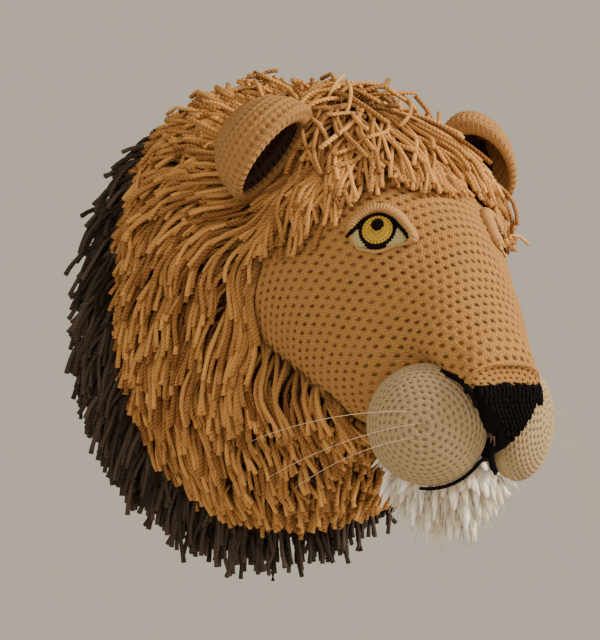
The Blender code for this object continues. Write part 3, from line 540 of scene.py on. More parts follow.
def build_ear(side, word):
    angles = circle(176)
    index, part = worked_rows(11 * 5 + 1)
    stitches = stitch_places(angles, index + part, EAR_STITCHES, index * 0.5)
    relief = stitch_relief(*stitches, 5.6, 5.4, 0.55, 1.2) + 0.55 * np.cos(angles * EAR_STITCHES) - 0.6
    outer = ear_skin(side, np.linspace(0.05, 0.97, len(index)) * pi / 2, angles, 0, relief)
    in_index, in_part = worked_rows(8 * 5 + 1)
    stitches = stitch_places(angles, in_index + in_part, 40, in_index * 0.5)
    inner = ear_skin(side, np.linspace(0.97, 0.08, len(in_index)) * pi / 2, angles, EAR_WALL,
                     0.4 - stitch_relief(*stitches, 5.0, 5.4, 0.6, 1.1))
    # rolled rim
    turn = np.linspace(0, pi, 7)[1:-1][:, None, None]
    knobs = 0.4 * np.cos(angles * EAR_STITCHES)[None, :, None]
    rim = ((outer[-1] + inner[0]) / 2 + (outer[-1] - inner[0]) / 2 * np.cos(turn)
           + ear_ways(side)[1] * (np.sin(turn) * (EAR_WALL * 0.45 + knobs)))
    rounds = join(index + part, 12 + np.linspace(0, 0.95, 5), 14 + in_index + in_part)
    woven_grid("ear_crochet_" + word, join(outer, rim, inner) * MM, rounds,
               np.repeat([44.0, 44.0, 40.0], [len(index), 5, len(in_index)]),
               join(index * 0.5, np.full(5, 0.25), in_index * 0.5), camel_ear_crochet,
               ["ear_" + word])
    # the deep lining
    high = blend(0.93, 0.12, ease(np.sin(angles), -0.3, 0.6))
    index, part = worked_rows(LINING_ROWS)
    stitches = stitch_places(angles, index + part, 36, index * 0.5)
    slope = (np.linspace(1, 0.03, LINING_ROWS)[:, None] * high[None, :]) * pi / 2
    top = ear_skin(side, slope, angles, EAR_WALL + 1.8, -stitch_relief(*stitches, 5.0, 5.4, 0.6, 1.1))
    low = ear_skin(side, slope[::-5], angles, EAR_WALL + 0.2, 0)
    still = np.zeros(len(low))
    woven_grid("ear_lining_crochet_" + word, join(low, top) * MM, join(still, 2 + index + part), 36.0,
               join(still, index * 0.5), lining_crochet, ["ear_lining_" + word])


for side, word in SIDES:
    build_ear(side, word)


# Hair: every strand follows the outside of the solid it belongs to

ANGLE_STEPS = 144
DEPTHS = np.arange(2, 330, 3.0)
HAIR_LAYER = 19
CROWN_GAP = (126, 206)
# degrees from the crown round to the chin, and how far from the wall the hair ends there
FACE_EDGE = [(0, 176), (22, 172), (34, 166), (46, 165), (58, 172), (66, 190), (74, 204), (82, 206), (92, 194),
             (100, 190), (108, 187), (116, 196), (124, 226), (130, 246), (137, 256), (150, 250), (180, 246)]


def axis_height(depth):
    return along([(0, 0), (200, 24), (260, 4), (310, -20)], depth)


def axis_point(depth):
    return point(0, -depth, axis_height(depth))


def ray_way(angle):
    return point(np.sin(angle), 0, np.cos(angle))


def angle_of(points):
    return np.arctan2(points[..., 0], points[..., 2] - axis_height(-points[..., 1]))


def face_edge(angle):
    return along(FACE_EDGE, np.degrees(np.abs((angle + pi) % TURN - pi)))


def reach_map(tree, depths, missing):
    """Reach of a skin from the head's axis at each depth and angle, in millimetres."""
    result = np.full((len(depths), ANGLE_STEPS), float(missing))
    for row, depth in enumerate(depths):
        middle = Vector(axis_point(depth)) * MM
        for column, angle in enumerate(circle(ANGLE_STEPS)):
            way = Vector(ray_way(angle))
            hit = tree.ray_cast(middle + way * 0.4, -way)[0]
            if hit is not None:
                result[row, column] = (hit - middle).length / MM
    return result


def soften(values, times):
    for _ in range(times):
        values = (np.roll(values, 1, axis=1) + 2 * values + np.roll(values, -1, axis=1)) / 4
        padded = join(values[:1], values, values[-1:])
        values = (padded[:-2] + 2 * values + padded[2:]) / 4
    return values


def look_up(values, depth, angle):
    """Value of a reach map at depths and angles between its points."""
    row = np.clip((depth - DEPTHS[0]) / 3.0, 0, len(DEPTHS) - 1.001)
    column = (angle / TURN * ANGLE_STEPS) % ANGLE_STEPS
    r = row.astype(int)
    c = column.astype(int) % ANGLE_STEPS
    n = (c + 1) % ANGLE_STEPS
    pc = column - np.floor(column)
    return blend(blend(values[r, c], values[r, n], pc), blend(values[r + 1, c], values[r + 1, n], pc), row - r)


def hair_reach():
    """Outside of the mane and the forelock, with the crown between them filled."""
    solid = reach_map(skin_of(nodes["mane_front"], nodes["forelock"]), DEPTHS, 0)
    solid[DEPTHS < 42] = solid[np.searchsorted(DEPTHS, 42)]
    crown = (np.abs(np.arange(ANGLE_STEPS) - ANGLE_STEPS / 2) > ANGLE_STEPS * 0.34)[None, :]
    behind, before = np.searchsorted(DEPTHS, CROWN_GAP)
    level = (DEPTHS[:, None] - CROWN_GAP[0]) / (CROWN_GAP[1] - CROWN_GAP[0])
    bridge = blend(solid[behind][None], solid[before][None], np.clip(level, 0, 1))
    solid = np.where((level > 0) & (level < 1) & crown, np.maximum(solid, bridge), solid)
    return soften(np.maximum(solid, head_reach + 5), 4)


head_reach = soften(reach_map(skin_of(nodes["head"]), DEPTHS, 30), 2)
hair_top = hair_reach()
hair_core = np.maximum(head_reach + 1.5, hair_top - HAIR_LAYER)
back_solid = reach_map(skin_of(nodes["mane_back"]), DEPTHS[DEPTHS < 47], 0)
back_top = soften(np.pad(back_solid, ((0, len(DEPTHS) - len(back_solid)), (0, 0)), "edge"), 3)


def clear_of_ears(points):
    """Moves points that lie in an ear out to its skin."""
    for side, _ in SIDES:
        centre, out, up, across = ear_ways(side)
        way = points - centre
        deep = -(way @ out)
        room = np.where(deep > 0, EAR_DEPTH + 2.5, 3.0)
        size = np.sqrt((way @ up / (EAR_HALF_LENGTH + 2.5)) ** 2 + (way @ across / (EAR_HALF_WIDTH + 2.5)) ** 2
                       + (deep / room) ** 2)
        points = centre + way * np.where(size < 1, 1 / np.maximum(size, 0.3), 1.0)[:, None]
    return points


def drift(angle, depth, seed):
    """Smooth sideways lean of neighbouring strands, from -1 to 1, changing over some 30 mm."""
    own = np.random.default_rng(seed)
    total = 0
    for _ in range(5):
        turns = own.integers(3, 22)
        total = total + np.sin(turns * angle + depth / own.uniform(9, 26) + own.uniform(0, 6.28))
    return total / 3.2


def grow_strands(depth, angle, length, steps, first_way, pull, rise, core, top, least_depth, back_pull=0.0,
                 curl=0.5):
    """Paths of strands in millimetres (strands, steps + 1, 3). Each starts on the core at a depth and angle,
    sets off its first way, is pulled down more and more, and climbs from the core through the layers over it.
    rise is how high each gets: 1 is the outside of the hair."""
    count = len(depth)
    spot = axis_point(depth) + ray_way(angle) * look_up(core, depth, angle)[:, None]
    path = [spot]
    way = first_way
    wave = dice.uniform(0, TURN, (count, 2))
    lean = drift(angle, depth, 5) * 0.22 + dice.normal(0, 0.11, count)
    hook = unit(dice.normal(0, 1, (count, 3))) * (curl * dice.uniform(0, 1, count) ** 2)[:, None]
    bulge = dice.normal(0, 0.09, count)
    for step in range(1, steps + 1):
        part = step / steps
        across = unit(np.cross(way, ray_way(angle_of(spot))))
        wobble = 0.13 * np.sin(wave[:, 0] + 6 * part) + 0.08 * np.sin(wave[:, 1] + 12 * part) + lean
        go = way + np.array((0, 0, -1.0)) * (pull * part)[:, None] + across * wobble[:, None]
        go = go + np.array((0, 1.0, 0)) * (back_pull * part)
        if part > 0.7:
            go = go + hook * ((part - 0.7) / 0.3)
        spot = spot + unit(go) * (length / steps)[:, None]
        depth = np.maximum(-spot[:, 1], least_depth)
        turn = np.arctan2(spot[:, 0], spot[:, 2] - axis_height(depth))
        low = look_up(core, depth, turn)
        share = rise * part ** 0.85 + bulge * np.sin(3.1 * part)
        reach = low + (look_up(top, depth, turn) - low) * share
        spot = clear_of_ears(axis_point(depth) + ray_way(turn) * reach[:, None])
        way = unit(0.5 * way + 0.5 * unit(spot - path[-1]))
        path.append(spot)
    return np.stack(path, axis=1)


def strand_mesh(name, paths, radius, sides, material, replaced=(), taper=1.12, flat=1.0, start=0.8):
    """One mesh of all the strands: the first is drawn from a cylinder, the rest are laid like it."""
    count, places, _ = paths.shape
    ahead = unit(np.gradient(paths, axis=1))
    across = unit(np.cross(ahead, unit(paths - axis_point(-paths[..., 1]))))
    up = np.cross(across, ahead)
    size = np.interp(np.linspace(0, 1, places), [0, 0.1, 0.86, 1], [start, 1, 1, taper])
    turn = circle(sides)[:, None]
    ring = across[:, :, None] * np.cos(turn) - up[:, :, None] * (flat * np.sin(turn))
    points = paths[:, :, None] + ring * (np.reshape(radius, (-1, 1)) * size)[:, :, None, None]
    nothing_selected()
    bpy.ops.mesh.primitive_cylinder_add(vertices=sides, radius=1, depth=1)
    piece = bpy.context.object
    old = piece.data
    mesh = bpy.data.meshes.new(name)
    each = places * sides
    corner = np.arange(sides)
    here = np.arange(places - 1)[:, None] * sides + corner
    beside = np.arange(places - 1)[:, None] * sides + (corner + 1) % sides
    one = np.stack([here, beside, beside + sides, here + sides], axis=-1).ravel()
    first = np.arange(count)[:, None] * each
    quads = (one + first).ravel()
    corners = join(quads, (corner[::-1] + first).ravel(), (corner + each - sides + first).ravel())
    totals = np.repeat([4, sides], [len(quads) // 4, 2 * count])
    mesh.vertices.add(count * each)
    mesh.vertices.foreach_set("co", (points * MM).astype(np.float32).ravel())
    mesh.loops.add(len(corners))
    mesh.loops.foreach_set("vertex_index", corners.astype(np.int32))
    mesh.polygons.add(len(totals))
    mesh.polygons.foreach_set("loop_start", (np.cumsum(totals) - totals).astype(np.int32))
    mesh.polygons.foreach_set("loop_total", totals.astype(np.int32))
    mesh.update(calc_edges=True)
    # maps: a cell for each strand in the picture map, and round and length along the yarn map
    strand, inside = np.divmod(corners, each)
    row, column = np.divmod(inside, sides)
    number = np.arange(len(corners))
    wraps = (column == 0) & np.isin(number % 4, (1, 2)) & (number < len(quads))
    u = (column + np.where(wraps, sides, 0)) / sides
    lengths = np.pad(np.cumsum(np.linalg.norm(np.diff(paths, axis=1), axis=2), axis=1), ((0, 0), (1, 0)))
    wide = int(np.ceil(np.sqrt(count * 2.2)))
    high = int(np.ceil(count / wide))
    for map_name, a, b in (("OFBake", (strand % wide + 0.08 + 0.84 * u) / wide,
                            (strand // wide + 0.06 + 0.88 * row / (places - 1)) / high),
                           ("Yarn", u, lengths[strand, row] + strand * 1.7)):
        layer = mesh.uv_layers.new(name=map_name)
        layer.uv.foreach_set("vector", np.stack([a, b], -1).astype(np.float32).ravel())
    tone = np.ones((count, places, sides, 4), np.float32)
    tone[..., 0] = np.clip(dice.normal(0.55, 0.28, count), 0.0, 1.0)[:, None, None]
    # second channel: painted shade, darkest at the root and fading out towards the tip
    tone[..., 1] = np.interp(np.linspace(0, 1, places), [0, 0.18, 0.5, 1], [0.2, 0.62, 0.9, 1.0])[:, None]
    mesh.color_attributes.new("tone", "FLOAT_COLOR", "POINT").data.foreach_set("color", tone.ravel())
    piece.data = mesh
    bpy.data.meshes.remove(old)
    return finish_piece(piece, name, material, replaced)


# Front mane: thirteen rows of strands from the edge of the face back to the wall

MANE_ROWS = 13
MANE_BACK = 36.0
STRAND_SPACING = 5.1


def mane_roots():
    """Depth and angle of the roots, in rows from the edge of the hair to its back."""
    depths = []
    angles = []
    for row in range(MANE_ROWS):
        going = (row - 0.25) / MANE_ROWS
        angle = circle(400)
        reach = look_up(hair_core, blend(face_edge(angle), MANE_BACK, going), angle)
        many = int(TURN * reach.mean() / STRAND_SPACING * (1.4 if row < 2 else 1))
        spots = (np.arange(many) + dice.uniform(-0.4, 0.4, many)) / many
        angle = np.interp(spots % 1, np.cumsum(reach) / np.sum(reach), angle)
        edge = face_edge(angle)
        jitter = dice.uniform(-0.5, 0.5, many) * (edge - MANE_BACK) / MANE_ROWS * (row > 0)
        depths.append(blend(edge, MANE_BACK, going) + jitter)
        angles.append(angle)
    return join(*depths), join(*angles)


def cut_short(path, length, past, least=0.3):
    """Length of each strand up to the first place where it is past its end."""
    steps = path.shape[1] - 1
    exit_step = np.where(past.any(axis=1), past.argmax(axis=1), steps)
    return length * np.clip(exit_step / steps, least, 1.0)


def mane_paths():
    depth, angle = mane_roots()
    count = len(depth)
    slope = (look_up(hair_top, depth - 12, angle) - look_up(hair_top, depth + 12, angle)) / 24
    backward = unit(point(0, np.ones(count), 0) + ray_way(angle) * slope[:, None])
    turn = np.abs((angle + pi) % TURN - pi)
    near_face = ease(depth, face_edge(angle) - 26, face_edge(angle) - 6) * ease(turn, 0.9, 1.5)
    fall = 0.25 + 0.75 * near_face
    first = unit(backward + 0.3 * ray_way(angle) + np.array((0, 0, -1.0)) * (fall * ease(turn, 0.7, 1.4))[:, None]
                 + dice.normal(0, 0.17, (count, 3)))
    pull = 0.45 + 1.9 * (1 - np.cos(angle)) + dice.normal(0, 0.2, count)
    length = dice.normal(60, 8, count) * (1 + 0.12 * drift(angle, depth, 8)) * (1 + 0.22 * near_face)
    rise = np.clip(dice.normal(1.06, 0.16, count), 0.75, 1.5)
    settings = (first, pull, rise, hair_core, hair_top, 9.0)
    trial = grow_strands(depth, angle, length, 8, *settings)
    ragged = np.clip(29 + 11 * drift(angle, 0 * depth, 11) + dice.uniform(-8, 8, count), 14, 54)
    past = -trial[:, :, 1] < ragged[:, None]
    return grow_strands(depth, angle, cut_short(trial, length, past), 8, *settings), np.sin(angle) > 0


paths, on_left = mane_paths()
for word, chosen, replaced in (("left", on_left, ["mane_front"]), ("right", ~on_left, ())):
    strand_mesh("mane_strands_" + word, paths[chosen], dice.normal(2.0, 0.16, chosen.sum()), 5, camel_mane,
                replaced)


def dark_paths():
    """Dark strands knotted in rows to the flat back ring, hanging outwards and down."""
    count = 1750
    steps = 8
    angle = dice.uniform(0, TURN, count)
    row = dice.integers(0, 4, count)
    depth = 6 + row * 11 + dice.normal(0, 1.5, count)
    outer = look_up(back_top, depth, angle)
    start_reach = np.maximum(look_up(head_reach, depth, angle) + 3, outer - dice.uniform(24, 70, count))
    spare = dice.normal(1, 4.5, count) - 12 * ease(np.cos(angle), 0.55, 0.9)
    start = axis_point(depth) + ray_way(angle) * start_reach[:, None]
    spread = dice.normal(0, 0.2, (count, 3)) * np.array((1, 0.4, 1))
    first = unit(ray_way(angle) + np.array((0, 0, -0.5)) + spread)
    pull = dice.normal(0.22, 0.06, count)
    length = dice.normal(58, 9, count)
    wave = dice.uniform(0, TURN, (count, 2))
    hook = unit(dice.normal(0, 1, (count, 3))) * 0.35 * (dice.uniform(0, 1, count) ** 2)[:, None]
    for _ in range(2):
        spot = start
        way = first
        path = [start]
        for step in range(1, steps + 1):
            part = step / steps
            side = point(np.sin(wave[:, 0] + 6 * part), 0.4 * np.cos(wave[:, 1] + 7 * part), 0) * 0.10
            way = unit(way + np.array((0, 0, -1.0)) * pull[:, None] + side + hook * (part > 0.7))
            spot = spot + way * (length / steps)[:, None]
            spot[:, 1] = -np.clip(-spot[:, 1], 3.5, 46)
            path.append(spot)
        path = np.stack(path, axis=1)
        reached = np.linalg.norm(path - axis_point(-path[..., 1]), axis=2)
        outside = look_up(back_top, np.minimum(-path[..., 1], 44), angle_of(path)) + spare[:, None]
        length = cut_short(path, length, reached > outside, 0.2)
    return path


dark = dark_paths()
strand_mesh("dark_mane_strands", dark, dice.normal(2.05, 0.15, len(dark)), 5, dark_mane,
            ["mane_back"])


# Forelock: strands from a knot on the crown and from a parting above each temple

KNOT_DEPTH = 182
CROWN_RADIUS = 140
# angle from the crown, and how far from the wall the forelock may reach there
BROW_LIMIT = [(0.0, 303), (0.12, 305), (0.27, 301), (0.45, 287), (0.67, 274), (0.94, 267),
              (1.19, 240), (1.45, 212)]
TEMPLE_LIMIT = [(0.0, 330), (0.3, 310), (0.5, 288), (0.67, 280), (0.94, 275),
                (1.15, 258), (1.3, 236), (1.6, 214)]
# the parting: how far from the wall, and degrees from the crown
PARTING = [(247, -16), (250, -22), (252, -26), (244, -29), (232, -31), (220, -31), (208, -30), (197, -28)]


def past_edge(path, edge, spare):
    """Where strands lie beyond the edge of the hair, and their angle from the crown."""
    turn = np.abs(np.arctan2(path[..., 0], path[..., 2] - 10))
    return -path[..., 1] > along(edge, turn) + spare, turn


def to_the_edge(depth, angle, length, edge, spare, top_free, settings):
    """Strands that stop at the edge of the hair, without those that strayed over it."""
    trial = grow_strands(depth, angle, length, 10, *settings)
    past, turn = past_edge(trial, edge, np.minimum(dice.normal(0, 4, len(depth)), 3)[:, None])
    path = grow_strands(depth, angle, cut_short(trial, length, past & (turn >= top_free)), 9, *settings)
    return path[~past_edge(path, edge, spare)[0].any(axis=1)]


def over_crown(angle, heading):
    """Way along the crown at an angle: 0 is forward, a right turn is positive."""
    sideways = point(np.cos(angle), 0, -np.sin(angle))
    return np.array((0, -1.0, 0)) * np.cos(heading)[:, None] + sideways * np.sin(heading)[:, None]


def forelock_paths():
    """From the knot on the crown: forward over the brow, and down and back over the temples."""
    ways = []
    away = []
    for ring in (3, 10, 19, 29, 40, 52, 64, 76):
        many = int(2 * radians(118) * (ring + 9) / 3.9)
        ways.append(np.radians(np.linspace(-118, 118, many)) + dice.normal(0, 0.05, many))
        away.append(ring + dice.normal(0, 3, many))
    heading = join(*ways)
    ring = join(*away)
    count = len(heading)
    depth = KNOT_DEPTH + ring * np.cos(heading) + 12 * np.exp(-heading ** 2)
    angle = ring * np.sin(heading) / CROWN_RADIUS
    first = unit(over_crown(angle, heading) + dice.normal(0, 0.11, (count, 3)))
    pull = dice.normal(0.35, 0.1, count) + 0.55 * np.abs(angle)
    back_pull = (0.9 * ease(np.abs(heading), 1.2, 1.75))[:, None]
    length = dice.normal(92, 12, count) * np.clip(1.24 - ring / 150, 0.6, 1.24)
    length = length * blend(1.0, 1.2, ease(np.abs(heading), 0.8, 1.4))
    rise = np.clip(dice.normal(1.0, 0.18, count), 0.7, 1.5) + 0.5 * ease(ring, 62, 4)
    return to_the_edge(depth, angle, length, BROW_LIMIT, 8, 0,
                       (first, pull, rise, hair_core, hair_top, 20.0, back_pull, 0.35))


def temple_paths(side, lift):
    """Long strands from one side of the parting, laid down and back over the temple to the ear."""
    count = 118
    spot = dice.uniform(0, len(PARTING) - 1, count)
    depths, turns = zip(*PARTING)
    knots = range(len(PARTING))
    depth = np.interp(spot, knots, depths) + dice.normal(0, 4, count)
    angle = -side * np.radians(np.interp(spot, knots, turns) + dice.normal(0, 2.5, count))
    share = spot / (len(PARTING) - 1)
    first = unit(point(np.cos(angle) * side, blend(-0.35, 0.55, share), -np.sin(angle) * side)
                 + 0.25 * ray_way(angle) + dice.normal(0, 0.1, (count, 3)))
    pull = dice.normal(0.75, 0.12, count)
    length = dice.normal(80, 7, count) * blend(0.86, 1.18, share)
    rise = np.clip(dice.normal(1.2, 0.3, count), 0.6, 1.9) + lift * ease(share, 0.35, 0.75)
    back_pull = (0.5 * share)[:, None]
    return to_the_edge(depth, angle, length, TEMPLE_LIMIT, 7, 0.4,
                       (first, pull, rise, hair_core, hair_top, 20.0, back_pull, 0.3))


def loose_paths():
    """Looped and standing strands along the crown."""
    count = 70
    angle = dice.normal(0, 0.4, count)
    depth = dice.uniform(50, 248, count)
    heading = dice.uniform(0, TURN, count)
    first = unit(over_crown(angle, heading) + 0.3 * ray_way(angle))
    rise = np.clip(dice.normal(1.35, 0.22, count), 0.9, 1.9)
    length = dice.normal(52, 8, count)
    return grow_strands(depth, angle, length, 9, first, dice.normal(0.2, 0.1, count), rise, hair_core + 5,
                        hair_top, 20.0, 0.0, 1.7)


def loop_paths():
    """Strands that stand up in a bow with both ends in the hair."""
    count = 90
    angle = dice.normal(0, 0.45, count)[:, None]
    depth = dice.uniform(60, 205, count)[:, None]
    heading = dice.uniform(0, TURN, count)[:, None]
    length = dice.normal(56, 9, count)[:, None]
    bow = dice.uniform(2, 8, count)[:, None]
    part = np.linspace(0, 1, 10)[None]
    way = heading + 1.1 * dice.uniform(-1, 1, count)[:, None] * part
    depth = depth + length * part * np.cos(way)
    angle = angle + length * part * np.sin(way) / CROWN_RADIUS
    reach = look_up(hair_top, depth, angle) - 4 + bow * np.sin(pi * part)
    return axis_point(depth) + ray_way(angle) * reach[..., None]


fore = join(forelock_paths(), temple_paths(1, 1.45), temple_paths(-1, 0.75), loose_paths(), loop_paths())
strand_mesh("forelock_strands", fore, dice.normal(1.8, 0.15, len(fore)), 5, camel_mane,
            ["forelock"])


# The crocheted bands the strands are knotted into, seen only as depth between them and from behind; the front one
# is painted near black as the shade of that depth

BAND_ANGLES = circle(120)


def build_band(name, rows, material):
    """Closed band round the head: out along its outside, back along its inside. rows gives depths, outer and
    inner reaches in millimetres."""
    depths, outer, inner = [np.array(values) for values in zip(*rows)]
    around = join(depths, depths[::-1], depths[:1])
    reach = join(outer, inner[::-1], outer[:1])
    points = (axis_point(around) + ray_way(BAND_ANGLES) * reach[..., None]) * MM
    steps = np.linalg.norm(np.diff(points, axis=0), axis=2).mean(axis=1) / (FACE_ROUND * MM)
    rounds = join([0], np.cumsum(np.maximum(1, np.round(steps))))
    woven_grid(name, points, rounds, 130.0, rounds * 0.5, material)


edge = blend(face_edge(BAND_ANGLES), 236, ease(np.cos(BAND_ANGLES), 0.35, 0.75))
rows = []
for going in np.linspace(0, 1, 22):
    depth = blend(edge - 6, 40.0, going)
    skin = look_up(head_reach, depth, BAND_ANGLES)
    core = look_up(hair_core, depth, BAND_ANGLES)
    rows.append((depth, blend(skin - 1.0, core - 1.0, ease(going, 0.0, 0.12)), skin - 2.5))
# the front cap: painted shade, near black for the depth under the strands
build_band("mane_cap", rows, mane_cap_painted_shade)
rows = []
for far, drop in ((1.0, 26), (14.0, 20), (30.0, 20), (38.0, 34)):
    depth = np.full(120, far)
    skin = look_up(head_reach, depth, BAND_ANGLES)
    rows.append((depth, look_up(back_top, depth, BAND_ANGLES) - drop, skin - 2.5))
build_band("dark_mane_cap", rows, dark_cloth)


# Beard: loose tufts of cream wool under the muzzle

BEARD_MIDDLE = np.array((0, -314, -108))
BEARD_SIZE = np.array((49, 58, 64))


def beard_paths(count, least, steps, spread):
    """Tufts radiate from under the muzzle to the outside of a soft half ball."""
    around = dice.uniform(0, TURN, count)
    down = np.arccos(dice.uniform(0.08, 1.0, count))
    size = dice.uniform(least, 1.03, count)
    way = point(np.sin(down) * np.sin(around), np.sin(down) * np.cos(around), -np.cos(down))
    end = way * BEARD_SIZE * size[:, None]
    start = end * np.array((0.55, 0.62, 0)) + dice.normal(0, 2.0, (count, 3)) * np.array((1, 1, 0))
    for tuft in start:
        below = Vector((tuft[0], tuft[1] + BEARD_MIDDLE[1], -300)) * MM
        hit = head_skin.ray_cast(below, Vector((0, 0, 1)))[0]
        tuft[2] = hit.z / MM + 1.5 - BEARD_MIDDLE[2] if hit is not None else 0
    part = np.linspace(0, 1, steps)[None, :, None]
    bow = np.array((0, 0, 1.0)) * (3 * np.sin(down))[:, None]
    sway = dice.normal(0, spread, (count, 3))
    path = blend(start[:, None], end[:, None], part) + bow[:, None] * np.sin(pi * part)
    path = path + sway[:, None] * part ** 2 + dice.normal(0, 0.5, (count, 1, 3)) * np.sin(9 * part)
    return path + BEARD_MIDDLE


tufts = beard_paths(470, 0.7, 8, 4.0)
thick = np.clip(dice.normal(2.9, 0.5, len(tufts)), 1.8, 4.2)
strand_mesh("beard_tufts", tufts, thick, 6, cream_wool, ["beard"], taper=0.35, flat=0.75)
wisps = beard_paths(700, 0.86, 6, 5.0)
strand_mesh("beard_wisps", wisps, 0.55, 3, cream_wool, taper=0.3)


# Nose and lips

# height and half width of the nose
NOSE_WIDTHS = [(-90, 4), (-88, 5.6), (-79, 12), (-70, 20), (-61, 27), (-54, 29), (-48, 29)]
LIP_MEETING = (0, -373, -105)
STRIP_END = [(-1, -376, -97), (-0.5, -375, -104), (2.5, -373, -110), (6, -371, -115.5)]
CREASE = [(37.5, -360, -40), (35, -371, -42.5), (33, -380.5, -45.5), (31.2, -389, -50.8), (29, -395, -57.5),
          (27.5, -397, -65)]
INTO_FACE = Vector((0, 1, 0))


def build_nose():
    """The frame's nose with its doubles merged, rounded off."""
    nothing_selected()
    piece = nodes["nose"].copy()
    piece.data = nodes["nose"].data.copy()
    for key in list(piece.keys()):
        del piece[key]
    piece.parent = None
    bpy.context.scene.collection.objects.link(piece)
    piece.hide_render = False
    piece.select_set(True)
    bpy.context.view_layer.objects.active = piece
    faces_outward(merge=2e-5, quads=True)
    rounded = piece.modifiers.new("Rounded", "SUBSURF")
    rounded.levels = 3
    rounded.render_levels = 3
    bpy.ops.object.modifier_apply(modifier=rounded.name)
    finish_piece(piece, "nose_crochet", black_yarn, ["nose"])


def black_cord(name, knots, radius, replaced=(), taper=0.8, start=0.8):
    """Round cord through some points, in millimetres, with small stitches along it."""
    knots = np.array(knots, float)
    way = join([0], np.cumsum(np.linalg.norm(np.diff(knots, axis=0), axis=1)))
    part = np.linspace(0, way[-1], int(way[-1] / 1.4) + 2)
    line = np.stack([np.interp(part, way, knots[:, k]) for k in range(3)], -1)
    for _ in range(6):
        line[1:-1] = (line[:-2] + 2 * line[1:-1] + line[2:]) / 4
    line = line + 0.25 * np.sin(part * 2.2)[:, None]
    strand_mesh(name, line[None], radius, 8, black_yarn, replaced, taper, 1.0, start)


def pad_edge(turn):
    """Point just outside the rim of the right pad, turn in degrees from its outer side."""
    out, across, up = [np.array(w) for w in facing(PAD_TURN, 0)]
    spot = PAD_CENTRE + (across * cos(radians(turn)) + up * sin(radians(turn))) * (PAD_RADIUS + 2.4) + out * 3.0
    return spot * np.array((-1, 1, 1))


def build_hollow():
    """Black crochet in the hollow between the pads, under the nose."""
    rows = []
    for z in np.linspace(-50, -106, 22):
        half = along([(-106, 17), (-90, 19), (-72, 27), (-60, 29), (-50, 27)], z)
        row = []
        for x in np.linspace(-half, half, 33):
            hit = head_skin.ray_cast(Vector((x * MM, -0.45, z * MM)), INTO_FACE)[0]
            row.append((x, min(hit.y / MM, -363) - 2.1 + 0.3 * cos(z * 2.2), z))
        rows.append(row)
    front = np.array(rows)
    back = front[:, ::-1] + np.array((0, 4.0, 0))
    rounds = np.arange(len(rows)) * 1.0
    woven_grid("muzzle_hollow_crochet", np.concatenate([front, back], axis=1) * MM, rounds, 12.0, rounds * 0.5,
               black_yarn)


def build_seam():
    """The stitched seam between the pads, behind the strip that runs down from the nose."""
    rows = []
    turn = circle(24)
    for z in np.linspace(-78, -107, 20):
        strip = along([(-103, 372), (-96, 376), (-88, 383), (-78, 389)], z) - 1.5
        deep = front_depth(np.array(0.0), np.array(z)) - 1
        half = 3.4 + 0.3 * cos(z * 2.2)
        rows.append(point(half * np.cos(turn), -(strip + deep) / 2 - (strip - deep) / 2 * np.sin(turn), z))
    woven_grid("muzzle_seam_crochet", np.array(rows) * MM, np.arange(len(rows)) * 1.0, 8.0, 0.0, black_yarn)


def nose_stitch_paths():
    """Rows of small black stitches over the nose; those of the upper row reach over the camel rounds."""
    skin = skin_of(nodes["head"], nodes["nose"])
    stitches = []
    for row, high in enumerate(np.arange(-54.0, -86, -3.9)):
        half = along(NOSE_WIDTHS, high - 3) - 2.2
        for x in np.arange(-half + (row % 2) * 1.7, half, 3.4):
            lean = dice.normal(0, 0.5)
            if row == 0:
                over = 2.8 + dice.uniform(-1, 1.8) + 1.5 * (1 - (x / 28) ** 2)
            else:
                over = dice.uniform(-0.5, 0.6)
            spots = []
            for part in np.linspace(0, 1, 6):
                spot = Vector((x + lean * part, -450, blend(high - 5.0, high + over, part))) * MM
                hit = skin.ray_cast(spot, INTO_FACE)[0] / MM
                lift = -0.9 + 1.1 * sin(pi * min(1, 0.25 + part))
                spots.append((hit.x, hit.y - max(lift, 0.45 if row == 0 and part > 0.6 else -0.6), hit.z))
            stitches.append(spots)
    return np.array(stitches)


build_nose()
black_cord("lip_cord", [pad_edge(turn) for turn in range(-84, -156, -8)] + [LIP_MEETING], 1.4, ["mouth"], 1.2)
black_cord("nose_strip_end", STRIP_END, 2.7, (), 1.05)
# black yarn shows in the crease over each pad
for side, word in SIDES:
    black_cord("muzzle_crease_" + word, [(x * side, y, z) for x, y, z in CREASE], 2.4, (), 0.9, 0.3)
build_hollow()
build_seam()
strand_mesh("nose_stitches", nose_stitch_paths(), 1.5, 6, black_yarn, (), 0.45)
# a few pinkish fibres caught in the seam under the nose
root = np.array((-3.4, -381, -82)) + dice.normal(0, 1, (26, 3)) * np.array((0.6, 1.6, 2.2))
tip = root + np.array((-2.2, -1.5, -5)) + dice.normal(0, 1.6, (26, 3))
fibres = blend(root[:, None], tip[:, None], np.linspace(0, 1, 5)[None, :, None])
strand_mesh("nose_fibres", fibres, 0.45, 4, fibre_fluff, (), 0.5)


# Eyes. In them u is measured to the outer side and v upwards, in millimetres.

EYE_TURN = 33
EYE_LIFT = 12
EYE_PLACE = Vector((54, -420, 64))
EYE_RADIUS = 15.0
IRIS_RADIUS = 11.4
PUPIL_RADIUS = 5.2
IRIS_STITCHES = 26
LINE_RADIUS = 1.7
# Edge of the pale corners: degrees round from the outer side, and reach in millimetres.
WHITE_EDGE = [(-180, 17), (-172, 20.5), (-165, 23.5), (-158, 24.5), (-148, 23), (-138, 20.5), (-124, 17),
              (-108, 14.5), (-90, 12), (-68, 14.5), (-50, 17), (-36, 20), (-24, 21.8), (-13, 21.5), (-4, 20),
              (6, 17), (16, 13), (90, 11), (160, 13), (180, 17)]
